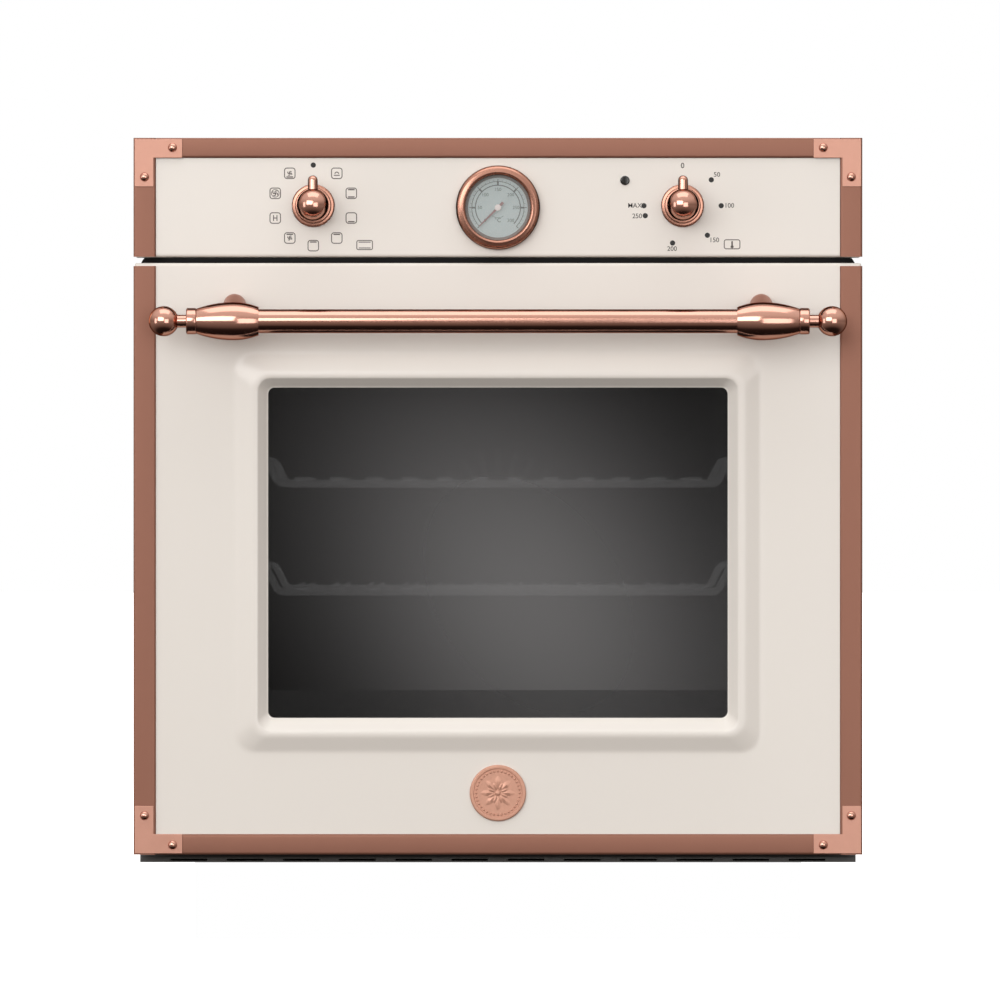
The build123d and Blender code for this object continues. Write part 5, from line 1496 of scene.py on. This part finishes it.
@dataclass(frozen=True)
class Gauge:
    """The thermometer: rolled rim and can, printed dial, needle and glass."""

    rim_r: float = 34.35
    rim_w: float = 7.6
    outer_roll: float = 4.4
    outer_roll_at: float = 5.2
    inner_roll: float = 2.6
    rim_back: float = 1.35
    bowl_r: float = 24.4
    bowl_top: float = -2.4
    bowl_foot: float = 1.3
    proud: float = 9.0
    can_r: float = 28.5
    can_d: float = 24.0
    wall: float = 0.8
    dial_depth: float = 1.5
    dial_t: float = 0.8
    needle_l: float = 21.6
    needle_tail: float = 6.0
    needle_w: float = 2.3
    needle_t: float = 0.5
    needle_deg: float = 225.0
    needle_depth: float = -1.6
    hub_r: float = 2.65
    start_deg: float = 225.0
    span_deg: float = 270.0
    scale_out: float = 21.4
    scale_in: float = 18.4
    short_mark: float = 22.8
    long_mark: float = 23.6
    number_r: float = 14.8
    number_h: float = 2.8

    def centre(self) -> Vector:
        """The gauge's axis at the enamelled face."""
        return at(0.0, 0.0, middle_mm("gauge_dial", 2))

    def way(self, clockwise: float, radius: float) -> Pair:
        """A place on the dial, from the angle clockwise from upright."""
        return clock((0.0, middle_mm("gauge_dial", 2)), clockwise, radius)

    def rim(self) -> None:
        """Spins the rolled rim and the can behind it."""
        inner = self.rim_r - self.rim_w
        back = self.can_r - self.wall
        outside = arc(self.rim_r - self.outer_roll, -self.proud + self.outer_roll_at,
                      self.outer_roll, 0.0, -80.0, 12)
        outside = [(r, max(-self.proud, d)) for r, d in outside]
        inside = arc(inner + self.inner_roll, -self.proud + self.inner_roll, self.inner_roll,
                     -100.0, -180.0, 8)
        profile = ([(self.can_r, 0.1), (self.rim_r - 0.6, 0.0), (self.rim_r, -0.6)]
                   + outside + inside
                   + [(inner, self.rim_back), (back, self.rim_back),
                      (back, self.can_d - self.wall),
                      (2.0, self.can_d - self.wall), (2.0, self.can_d), (self.can_r, self.can_d),
                      (self.can_r, 0.1)])
        rim = lathe("gauge_rim", profile, Axis.INWARD, self.centre(), RING_COPPER, 160)
        settle(rim, "chassis", "polished_copper", "gauge_bezel")
        # The bowl's dark brown is painted shade: the rim's shadow on the slope under it.
        wall = inner - 0.05
        slope = [(wall, self.bowl_top), (self.bowl_r, self.bowl_foot), (wall, self.bowl_foot),
                 (wall, self.bowl_top)]
        bowl = lathe("gauge_bowl", slope, Axis.INWARD, self.centre(), BOWL_PAINTED_SHADE, 128)
        settle(bowl, "chassis", "polished_copper")

    def dial(self) -> None:
        """Makes the dial plate and prints its scale and numbers."""
        radius = self.can_r - self.wall - 0.1
        low, high = self.dial_depth, self.dial_depth + self.dial_t
        plate = lathe("gauge_dial_plate", [(1.2, low), (radius, low), (radius, high), (1.2, high),
                                           (1.2, low)], Axis.INWARD, self.centre(), DIAL, 96)
        settle(plate, "chassis", "dial_plate", "gauge_dial")
        ink = Print("gauge_scale", self.dial_depth, 0.04)
        z = middle_mm("gauge_dial", 2)
        first, last = 90.0 - self.start_deg - self.span_deg + 360.0, 90.0 - self.start_deg + 360.0
        ink.ring(0.0, z, self.scale_out, (first, last), 0.5)
        ink.ring(0.0, z, self.scale_in, (first, last), 0.8)
        for i in range(31):
            clockwise = self.start_deg + self.span_deg * i / 30.0
            reach, width = (self.short_mark, 0.26) if i % 5 else (self.long_mark, 0.62)
            ink.stroke([self.way(clockwise, self.scale_out), self.way(clockwise, reach)], width)
        for clockwise in (270.0, 315.0, 0.0, 45.0, 90.0):
            ink.area([self.way(clockwise + turn, away)
                      for turn, away in ((-2.2, self.scale_in), (2.2, self.scale_in),
                                         (2.0, self.scale_out), (-2.0, self.scale_out))])
        for i, words in enumerate(("0", "50", "100", "150", "200", "250", "300")):
            x, z_text = self.way(self.start_deg + self.span_deg * i / 6.0, self.number_r)
            ink.text(words, x, z_text, self.number_h)
        x, z_unit = self.way(180.0, 10.4)
        ink.text("°C", x, z_unit, 3.4)
        ink.ring(0.0, z, 8.2, (235.0, 305.0), 0.3)
        ink.build(INK, "chassis", "dial_plate")

    def needle(self) -> None:
        """Makes the tapered needle and its pale hub."""
        centre = self.centre()
        turn = math.radians(90.0 - self.needle_deg)
        along = Vector((math.cos(turn), math.sin(turn)))
        side = Vector((-along.y, along.x))
        half = mm(self.needle_w) / 2.0
        shape = [(-mm(self.needle_tail), -half), (-mm(self.needle_tail), half),
                 (mm(self.needle_l), mm(0.45)), (mm(self.needle_l), -mm(0.45))]
        outline = [(centre.x + along.x * a + side.x * b, centre.z + along.y * a + side.y * b)
                   for a, b in shape]
        y = FACE + mm(self.needle_depth)
        blade = soften(prism("gauge_needle_blade", outline, y, y + mm(self.needle_t), NEEDLE),
                       0.12, 2)
        settle(blade, "needle", "needle_paint", "gauge_needle")
        front = self.needle_depth - 0.4
        crown = arc(self.hub_r - 0.5, front + 0.5, 0.5, 0.0, -90.0, 4)
        hub = lathe("gauge_needle_hub", [(0.0, front + 2.0), (self.hub_r, front + 2.0)] + crown
                    + [(0.0, front)], Axis.INWARD, centre, HUB, 48)
        settle(hub, "needle", "needle_paint")
        staff = lathe("gauge_needle_staff", [(0.0, 0.4), (0.8, 0.4), (0.8, self.can_d - 4.0),
                                             (0.0, self.can_d - 4.0)], Axis.INWARD, centre, STEEL,
                      20)
        settle(staff, "needle", "needle_paint")

    def build(self) -> None:
        """Makes every piece of the gauge."""
        self.rim()
        self.dial()
        self.needle()
        smooth_copy("gauge_glass", "chassis", CLEAR, "clear_glass")


# ----------------------------------------------------------------------- handle
@dataclass(frozen=True)
class Handle:
    """The polished bar with its turned brackets, collars and ball ends."""

    out: float = 45.0
    bar_r: float = 9.65
    bar_end: float = 194.6
    olive_l: float = 50.4
    olive_in_r: float = 11.5
    olive_r: float = 15.45
    olive_out_r: float = 10.25
    olive_crest: float = 20.4
    post_r: float = 9.2
    post_rise: float = 13.7
    post_foot: float = 16.0
    post_bend: float = 12.0
    collar_r: float = 10.65
    collar_l: float = 8.5
    neck_r: float = 5.2
    neck_l: float = 6.5
    ball_r: float = 12.25
    collar_roll: float = 1.4

    def axis(self) -> Vector:
        """The middle of the bar."""
        return at(0.0, -self.out, middle_mm("handle_bar", 2))

    def bulge(self, side: int) -> list[Pair]:
        """The olive's outline, thickest at its crest.

        Args:
            side: Minus one for left, one for right.
        Returns:
            The outline, as (radius, along) pairs.
        """
        rows = []
        steps = 28
        for i in range(steps + 1):
            along = self.olive_l * i / steps
            if along < self.olive_crest:
                share = 1.0 - along / self.olive_crest
                radius = self.olive_r - (self.olive_r - self.olive_in_r) * share ** 2
            else:
                share = (along - self.olive_crest) / (self.olive_l - self.olive_crest)
                radius = self.olive_r - (self.olive_r - self.olive_out_r) * share ** 2
            rows.append((radius, side * (self.bar_end + along)))
        return rows

    def turned(self, name: str, rows: Sequence[Pair]) -> bpy.types.Object:
        """Spins an outline about the bar's axis, closed at both ends."""
        closed = [(0.0, rows[0][1])] + list(rows) + [(0.0, rows[-1][1])]
        return lathe(name, closed, Axis.ACROSS, self.axis(), COPPER, 96, 38.0)

    def post(self, side: int) -> bpy.types.Object:
        """Bends the foot that holds an olive off the door.

        Args:
            side: Minus one for left, one for right.
        Returns:
            The bent foot.
        """
        x = side * (self.bar_end + self.olive_crest)
        z = middle_mm("handle_bar", 2)
        route = [at(x, 0.0, z + self.post_rise), at(x, -self.post_foot, z + self.post_rise),
                 at(x, -self.out, z)]
        mesh = bpy.data.meshes.new("post")
        mesh.from_pydata([tuple(p) for p in route], [(0, 1), (1, 2)], [])
        guide = bpy.data.objects.new("post", mesh)
        bpy.context.collection.objects.link(guide)
        return WIRE.run(guide, CAST_COPPER, Radius=mm(self.post_r), Bend=mm(self.post_bend), Sides=64)

    def build(self) -> None:
        """Makes the bar, both brackets and both ends."""
        bar = self.turned("handle_bar_polished", [(self.bar_r, -self.bar_end),
                                                  (self.bar_r, self.bar_end)])
        settle(bar, "door", "polished_copper", "handle_bar")
        olives, feet, ends = [], [], []
        start = self.bar_end + self.olive_l
        neck = start + self.collar_l
        ball_x = neck + self.neck_l + self.ball_r - 0.5
        roll = self.collar_roll
        for side in (-1, 1):
            olives.append(self.turned("olive", self.bulge(side)))
            feet.append(self.post(side))
            collar = ([(self.collar_r - roll, side * start)]
                      + [(self.collar_r - roll + roll * math.sin(t), side * (start + roll
                         - roll * math.cos(t))) for t in self.quarter()]
                      + [(self.collar_r - roll + roll * math.cos(t), side * (neck - roll
                         + roll * math.sin(t))) for t in self.quarter()])
            ends.append(self.turned("collar", collar))
            ends.append(self.turned("neck", [(self.neck_r, side * (neck - 1.0)),
                                             (self.neck_r, side * ball_x)]))
            sphere = [(self.ball_r * math.sin(math.pi * i / 32),
                       side * (ball_x - self.ball_r * math.cos(math.pi * i / 32)))
                      for i in range(33)]
            sphere[0], sphere[-1] = (0.0, sphere[0][1]), (0.0, sphere[-1][1])
            ends.append(lathe("ball", sphere, Axis.ACROSS, self.axis(), COPPER, 96, 60.0))
        settle(joined("handle_olives_polished", olives), "door", "polished_copper", "handle_posts")
        settle(joined("handle_feet_cast", feet), "door", "trim_copper")
        settle(joined("handle_finials_polished", ends), "door", "polished_copper",
               "handle_finials")

    def quarter(self) -> list[float]:
        """The steps of a quarter turn."""
        return [math.pi / 2.0 * i / 5 for i in range(6)]


@dataclass(frozen=True)
class Medallion:
    """A struck disc with a rolled rim, a beaded ring and a plain rosette."""

    radius: float = 23.0
    thick: float = 2.2
    field_r: float = 19.6
    beads: int = 36
    bead_r: float = 1.0
    petals: int = 8
    petal_l: float = 15.6
    petal_w: float = 6.2

    def build(self) -> None:
        """Makes the disc and strikes the rosette on it."""
        centre = at(0.0, 0.0, middle_mm("medallion", 2))
        roll = arc(self.radius - 1.1, -1.1, 1.1, 0.0, -90.0, 6)
        dish = [(self.field_r + 0.5, -self.thick + 0.1), (self.field_r, -self.thick + 0.7)]
        disc = lathe("disc", [(0.0, 0.0), (self.radius, 0.0)] + roll + dish
                     + [(0.0, -self.thick + 0.7)], Axis.INWARD, centre, MEDAL, 128)
        pieces = [disc, self.ring_of(self.bead(), self.beads, 0.0)]
        pieces.append(self.ring_of(self.petal(self.petal_l, self.petal_w), self.petals, 0.0))
        pieces.append(self.ring_of(self.petal(self.petal_l * 0.62, self.petal_w * 0.7),
                                   self.petals, math.pi / self.petals))
        boss = arc(0.0, 0.0, 2.4, 0.0, 90.0, 6)
        pieces.append(lathe("boss", [(0.0, 0.0)] + [(r, -0.45 * d) for r, d in boss[:-1]]
                            + [(0.0, -1.08)], Axis.INWARD, Vector(), MEDAL, 32))
        for piece in pieces[1:]:
            piece.data.transform(Matrix.Translation(centre + Vector((0.0, -mm(self.thick - 0.9),
                                                                      0.0))))
        settle(joined("medallion_rosette", pieces), "door", "bracket_copper", "medallion")

    def ring_of(self, shape: bpy.types.Object, count: int, start: float) -> bpy.types.Object:
        """Repeats a shape round the middle."""
        return ROUND.run(shape, MEDAL, Count=count, Start=start, Step=2.0 * math.pi / count)

    def bead(self) -> bpy.types.Object:
        """One bead of the ring, at the top.

        Returns:
            The bead.
        """
        dome = arc(0.0, 0.0, self.bead_r, 0.0, 90.0, 4)
        place = Vector((0.0, 0.0, mm(self.field_r - 1.8)))
        return lathe("bead", [(0.0, 0.0)] + [(r, -d) for r, d in dome[:-1]]
                     + [(0.0, -self.bead_r)], Axis.INWARD, place, MEDAL, 12)

    def petal(self, length: float, width: float) -> bpy.types.Object:
        """One pointed petal with a ridge, at the top.

        Args:
            length: Its length, in millimetres.
            width: Its width, in millimetres.
        Returns:
            The petal.
        """
        rows = 10
        points: list[Point] = []
        for i in range(rows + 1):
            share = i / rows
            half = mm(width) / 2.0 * math.sin(math.pi * share) ** 0.7 + 1e-6
            z = mm(2.0 + (length - 2.0) * share)
            lift = -mm(0.9) * math.sin(math.pi * min(1.0, share * 1.05)) - mm(0.05)
            points += [(-half, 0.0, z), (0.0, lift, z), (half, 0.0, z)]
        faces: list[Sequence[int]] = []
        for i in range(rows):
            a, b = 3 * i, 3 * i + 3
            faces += [(a, a + 1, b + 1, b), (a + 1, a + 2, b + 2, b + 1), (a, b, b + 2, a + 2)]
        faces += [(0, 2, 1), (3 * rows, 3 * rows + 1, 3 * rows + 2)]
        return new_piece("petal", points, faces, MEDAL, 50.0)


@dataclass(frozen=True)
class OvenWindow:
    """The smoked outer pane, with the dark band fired along its foot."""

    band_half_w: float = 187.0
    band_z: Pair = (120.0, 142.0)
    band_lift: Pair = (-0.05, -0.01)

    def build(self) -> None:
        """Dresses the pane and lays the band on its front."""
        # The smoked pane carries a painted glow in its base colour, standing for light seen in the window.
        pane = SmokedPane("smoked_float_glass", "#070707", 0.08, grain_mm=300.0, shade=0.01,
                          rough_swing=0.01, alpha=0.74, specular=0.15)
        smooth_copy("outer_glass", "door", pane, "smoked_glass")
        front = (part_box("outer_glass")[0].y - FACE) * 1000.0
        band = block("pane_band", (-self.band_half_w, self.band_half_w),
                     (front + self.band_lift[0], front + self.band_lift[1]), self.band_z, BAND)
        settle(band, "door", "smoked_glass")


# ---------------------------------------------------------------------- chassis
@dataclass(frozen=True)
class SheetScrews:
    """Rows of pan-head sheet screws that hold the outer sheets."""

    head_r: float = 3.6
    head_h: float = 1.5
    washer_r: float = 4.6
    washer_h: float = 0.4

    def profile(self) -> list[Pair]:
        """The outline of washer and head, with a driver recess.

        Returns:
            The outline, as (radius, along) pairs.
        """
        dome = arc(self.head_r - 0.9, -self.head_h + 0.9 - self.washer_h, 0.9, 0.0, -90.0, 4)
        return ([(0.0, 0.0), (self.washer_r, 0.0), (self.washer_r, -self.washer_h),
                 (self.head_r, -self.washer_h)] + dome
                + [(1.3, -self.head_h - self.washer_h), (0.9, -self.head_h + 0.4),
                   (0.0, -self.head_h + 0.4)])

    def rows(self, name: str, turn: Matrix, start: Vector, counts: tuple[int, int],
             steps: tuple[Point, Point]) -> None:
        """Sets a grid of screws on a sheet.

        Args:
            name: The grid's name.
            turn: Turns the head from facing the front to facing outward.
            start: The first screw.
            counts: How many along each direction.
            steps: The two directions' steps, in metres.
        """
        head = lathe("head", self.profile(), Axis.INWARD, Vector(), STEEL, 28)
        head.data.transform(Matrix.Translation(start) @ turn)
        grid = ROWS.run(head, STEEL, Count_A=counts[0], Count_B=counts[1], Step_A=steps[0],
                        Step_B=steps[1])
        grid.name = name
        settle(grid, "chassis", "galvanised_steel")


@dataclass(frozen=True)
class Chassis:
    """The outer sheets with their screws and pressed stiffening beads."""

    edge: float = 14.0
    bead_w: float = 9.0
    bead_h: float = 1.6
    bead_sheet: float = 0.5
    lid_setback: float = 41.5
    top_bead_in: float = 60.0
    top_bead_back: float = 150.0
    top_bead_step: float = 120.0
    side_bead_in: float = 70.0
    side_bead_step: float = 170.0

    def bead(self, name: str, start: Vector, along: Vector, outward: Vector,
             count: int, step: Point) -> None:
        """Presses a row of long rounded beads into a sheet.

        Args:
            name: The row's name.
            start: One end of the first bead's middle line.
            along: From there to its other end.
            outward: The sheet's outward direction.
            count: How many beads.
            step: From one bead to the next.
        """
        side = outward.cross(along).normalized() * mm(self.bead_w) / 2.0
        way = along.normalized()
        rows, points = 8, []
        spread = [math.pi * i / rows for i in range(rows + 1)]
        ends = [(start - way * mm(self.bead_w) / 2.0 * math.cos(t), math.sin(t))
                for t in spread[:5]]
        ends += [(start + along + way * mm(self.bead_w) / 2.0 * math.sin(t), math.cos(t))
                 for t in spread[:5]]
        for place, wide in ends:
            for t in spread:
                lift = outward * mm(self.bead_h) * math.sin(t) * wide
                points.append(place - side * math.cos(t) * max(wide, 0.001) + lift)
        faces = []
        for i in range(len(ends) - 1):
            for j in range(rows):
                a = i * (rows + 1) + j
                faces.append((a, a + 1, a + rows + 2, a + rows + 1))
        shape = new_piece("bead", points, faces, ZINC, 60.0)
        thick = shape.modifiers.new("sheet", "SOLIDIFY")
        thick.thickness = mm(self.bead_sheet)
        thick.offset = -1.0
        flattened(shape)
        row = ROWS.run(shape, ZINC, Count_A=count, Count_B=1, Step_A=step)
        row.name = name
        settle(row, "chassis", "galvanised_steel")

    def build(self) -> None:
        """Dresses the sheets and adds screws and beads."""
        for node in ("side_panel_right", "side_panel_left", "top_cover", "back_cover",
                     "base_tray"):
            smooth_copy(node, "chassis", ZINC, "galvanised_steel")
        low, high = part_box("back_cover")
        edge = mm(self.edge)
        screws = SheetScrews()
        back = Matrix.Rotation(math.pi, 4, "Z")
        wide, tall = high.x - low.x - 2 * edge, high.z - low.z - 2 * edge
        screws.rows("back_screws_upright", back, Vector((low.x + edge, high.y, low.z + edge)),
                    (2, 5), ((wide, 0.0, 0.0), (0.0, 0.0, tall / 4)))
        screws.rows("back_screws_level", back,
                    Vector((low.x + edge + wide / 4, high.y, low.z + edge)),
                    (3, 2), ((wide / 4, 0.0, 0.0), (0.0, 0.0, tall)))
        self.top(screws)
        self.sides(screws)

    def top(self, screws: SheetScrews) -> None:
        """Screws round the lid and beads across it.

        Args:
            screws: The kind of screw to set.
        """
        low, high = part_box("top_cover")
        edge = mm(self.edge)
        up = Matrix.Rotation(-math.pi / 2.0, 4, "X")
        deep = high.y - FACE - mm(self.lid_setback) - 2 * edge
        screws.rows("top_screws", up, Vector((low.x + edge, FACE + mm(self.lid_setback) + edge,
                                                   high.z)), (2, 4),
                    ((high.x - low.x - 2 * edge, 0.0, 0.0), (0.0, deep / 3, 0.0)))
        self.bead("top_beads", Vector((low.x + mm(self.top_bead_in),
                                      FACE + mm(self.top_bead_back), high.z)),
                  Vector((high.x - low.x - 2 * mm(self.top_bead_in), 0.0, 0.0)), Vector((0.0, 0.0, 1.0)), 3,
                  (0.0, mm(self.top_bead_step), 0.0))

    def sides(self, screws: SheetScrews) -> None:
        """Screws down the edges of both sides and beads along them.

        Args:
            screws: The kind of screw to set.
        """
        edge = mm(self.edge)
        for side, node in ((1, "side_panel_right"), (-1, "side_panel_left")):
            low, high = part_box(node)
            x = high.x if side > 0 else low.x
            out = Matrix.Rotation(side * math.pi / 2.0, 4, "Z")
            tall = high.z - low.z - 2 * edge
            screws.rows(node + "_screws", out, Vector((x, low.y + edge, low.z + edge)), (4, 2),
                        ((0.0, 0.0, tall / 3), (0.0, high.y - low.y - 2 * edge, 0.0)))
            start = Vector((x, low.y + mm(self.side_bead_in), mm(self.side_bead_in)))
            along = Vector((0.0, high.y - low.y - 2 * mm(self.side_bead_in), 0.0))
            self.bead(node + "_beads", start, along, Vector((float(side), 0.0, 0.0)), 3,
                      (0.0, 0.0, mm(self.side_bead_step)))


# ------------------------------------------------------------------- everything
PLAIN = (
    ("door_inner_frame", "door", BLACK, "black_enamel"),
    ("hinge_channels", "door", STEEL, "plain_steel"),
    ("hinge_pins", "door", STEEL, "plain_steel"),
    ("hinge_arms", "chassis", STEEL, "plain_steel"),
    ("inner_glass", "door", CLEAR, "clear_glass"),
    ("front_frame", "chassis", BLACK, "black_enamel"),
    ("lower_vent_strip", "chassis", STRIP, "black_enamel"),
    ("door_seal", "chassis", RUBBER, "seal_rubber"),
    ("cavity_liner", "chassis", CAVITY, "cavity_enamel"),
    ("insulation", "chassis", WOOL, "mineral_wool"),
    ("fan_cover", "chassis", CAVITY, "cavity_enamel"),
    ("baking_tray", "tray", CAVITY, "cavity_enamel"),
    ("upper_rack", "upper_rack", RACK_WIRE, "chromed_wire"),
    ("lower_rack", "lower_rack", RACK_WIRE, "chromed_wire"),
    ("rack_guides", "chassis", CHROME, "chromed_wire"),
    ("grill_element", "chassis", SHEATH, "element_steel"),
    ("bottom_element", "chassis", SHEATH, "element_steel"),
    ("ring_element", "chassis", SHEATH, "element_steel"),
    ("fan_blade", "fan", ALUMINIUM, "aluminium_sheet"),
    ("blower_impeller", "impeller", ALUMINIUM, "aluminium_sheet"),
    ("fan_motor", "chassis", STEEL, "motor_steel"),
    ("blower_motor", "chassis", STEEL, "motor_steel"),
    ("blower_housing", "chassis", ZINC, "galvanised_steel"),
    ("lamp_glass", "chassis", CLEAR, "clear_glass"),
    ("lamp_holder", "chassis", CERAMIC, "holder_ceramic"),
    ("terminal_block", "chassis", PLASTIC, "block_plastic"),
    ("cable_gland", "chassis", PLASTIC, "block_plastic"),
    ("selector_spindle", "selector", STEEL, "plain_steel"),
    ("thermostat_spindle", "thermostat", STEEL, "plain_steel"),
    ("selector_switch", "chassis", PLASTIC, "switch_plastic"),
    ("thermostat_body", "chassis", PLASTIC, "switch_plastic"),
    ("thermostat_bulb", "chassis", COPPER, "capillary_copper"),
    ("indicator_lens", "chassis", LENS, "lens_plastic"),
)


@dataclass(frozen=True)
class SoftLight:
    """One soft rectangular light that faces a point."""

    name: str
    place: Point
    size: Pair
    power: float
    aim: Point = (0.0, FACE, 0.3)

    def build(self) -> None:
        """Hangs the light."""
        lamp = bpy.data.lights.new(self.name, "AREA")
        lamp.shape = "RECTANGLE"
        lamp.size, lamp.size_y = self.size
        lamp.energy = self.power
        holder = bpy.data.objects.new(self.name, lamp)
        holder.location = self.place
        way = Vector(self.aim) - Vector(self.place)
        holder.rotation_euler = way.to_track_quat("-Z", "Y").to_euler()
        bpy.context.collection.objects.link(holder)


LIGHTS = (
    SoftLight("key", (-2.2, -5.2, 1.9), (4.5, 2.6), 130.0),
    SoftLight("fill", (1.5, -4.5, 0.5), (2.5, 2.2), 36.0),
    SoftLight("left", (-4.4, -2.4, 0.6), (1.4, 2.4), 20.0),
    SoftLight("top", (0.0, -0.6, 2.6), (2.4, 1.6), 14.0),
    SoftLight("back", (-1.8, 3.0, 1.0), (3.0, 1.6), 26.0, (0.0, 0.3, 0.3)),
)


@dataclass(frozen=True)
class Studio:
    """The pale floor, the lights, the world and the camera."""

    floor_z: float = -0.065
    view_w: float = 0.8178
    distance: float = 8.0
    sensor_mm: float = 36.0
    aim: Pair = (0.0017, 0.2975)
    table_half: float = 30.0
    table_glow: float = 0.9
    plinth_half: float = 250.0
    plinth_front: float = 60.0
    plinth_in: float = 25.0

    def set_stage(self, piece: bpy.types.Object) -> None:
        """Keeps a piece of the setting out of reflections and bounced light.

        Args:
            piece: The piece.
        """
        piece.visible_glossy = False
        piece.visible_diffuse = False

    def table(self) -> None:
        """A wide light table of white acrylic, with a low plinth under the oven."""
        acrylic = Finish("lit_white_acrylic", "#F4F4F4", 0.8, grain_mm=300.0, shade=0.004,
                         glow=self.table_glow)
        half = self.table_half
        corners = [(-half, -half, self.floor_z), (half, -half, self.floor_z),
                   (half, half, self.floor_z), (-half, half, self.floor_z)]
        self.set_stage(new_piece("light_table", corners, [(0, 1, 2, 3)], acrylic))
        board = Finish("white_plinth_board", "#000000", 1.0, grain_mm=200.0, shade=0.0,
                       specular=0.0, glow=1.0)
        back = (CAD_BOX[1].y - FACE) * 1000.0 - self.plinth_in
        plinth = block("plinth", (-self.plinth_half, self.plinth_half), (self.plinth_front, back),
                       (self.floor_z * 1000.0, 0.0), board)
        self.set_stage(plinth)

    def world(self) -> None:
        """White to the camera; bright above and dark below in reflections."""
        world = bpy.data.worlds.new("studio")
        world.use_nodes = True
        bpy.context.scene.world = world
        tree = world.node_tree
        back = tree.nodes["Background"]
        place = add_node(tree, "ShaderNodeTexCoord").outputs["Generated"]
        parts = add_node(tree, "ShaderNodeSeparateXYZ", None, {0: place})
        ramp = add_node(tree, "ShaderNodeValToRGB", None,
                        {0: add_node(tree, "ShaderNodeMapRange", {"From Min": -1.0, "From Max": 1.0},
                                     {"Value": parts.outputs["Z"]}).outputs[0]})
        stops = ramp.color_ramp.elements
        stops[0].position, stops[0].color = 0.0, colour("#1E1917")
        stops[1].position, stops[1].color = 1.0, colour("#FFFFFF")
        for position, tone in ((0.1, "#2E2623"), (0.2, "#6E6560"), (0.45, "#A39A94"),
                               (0.5, "#8F8680"), (0.62, "#BEB7B2"), (0.8, "#F2EEEA")):
            stops.new(position).color = colour(tone)
        rays = add_node(tree, "ShaderNodeLightPath")
        seen = add_node(tree, "ShaderNodeMix", {"data_type": "RGBA", 7: colour("#FFFFFF")},
                        {0: rays.outputs["Is Camera Ray"], 6: ramp.outputs[0]})
        tree.links.new(seen.outputs[2], back.inputs[0])
        back.inputs[1].default_value = 1.0

    def camera(self) -> None:
        """A level camera far in front, with a narrow view."""
        lens = bpy.data.cameras.new("camera")
        lens.sensor_width = self.sensor_mm
        lens.lens = self.sensor_mm * self.distance / self.view_w
        lens.clip_end = 60.0
        holder = bpy.data.objects.new("camera", lens)
        holder.location = (self.aim[0], FACE - self.distance, self.aim[1])
        holder.rotation_euler = (math.pi / 2.0, 0.0, 0.0)
        bpy.context.collection.objects.link(holder)
        bpy.context.scene.camera = holder

    def build(self) -> None:
        """Sets the whole stage."""
        self.table()
        self.world()
        for light in LIGHTS:
            light.build()
        self.camera()
        bpy.context.scene.view_settings.view_transform = "Standard"


def main() -> None:
    """Builds every sub-assembly in order."""
    logging.basicConfig(level=logging.INFO)
    settle(PanelSkin("control_panel", returns=38.0).build(), "chassis", "ivory_enamel", "control_panel")
    settle(DoorSkin("door_panel", returns=24.0).build(), "door", "ivory_enamel", "door_panel")
    FrontTrim("panel", "chassis", inward=-1, level_h=16.4).build()
    FrontTrim("door", "door", inward=1, level_h=16.8).build()
    PanelPrint().build()
    for body in ("selector", "thermostat"):
        BallKnob(body).build()
    Gauge().build()
    Handle().build()
    Medallion().build()
    OvenWindow().build()
    for node, body, finish, slot in PLAIN:
        smooth_copy(node, body, finish, slot)
    Chassis().build()
    Studio().build()


if __name__ == "__main__":
    main()
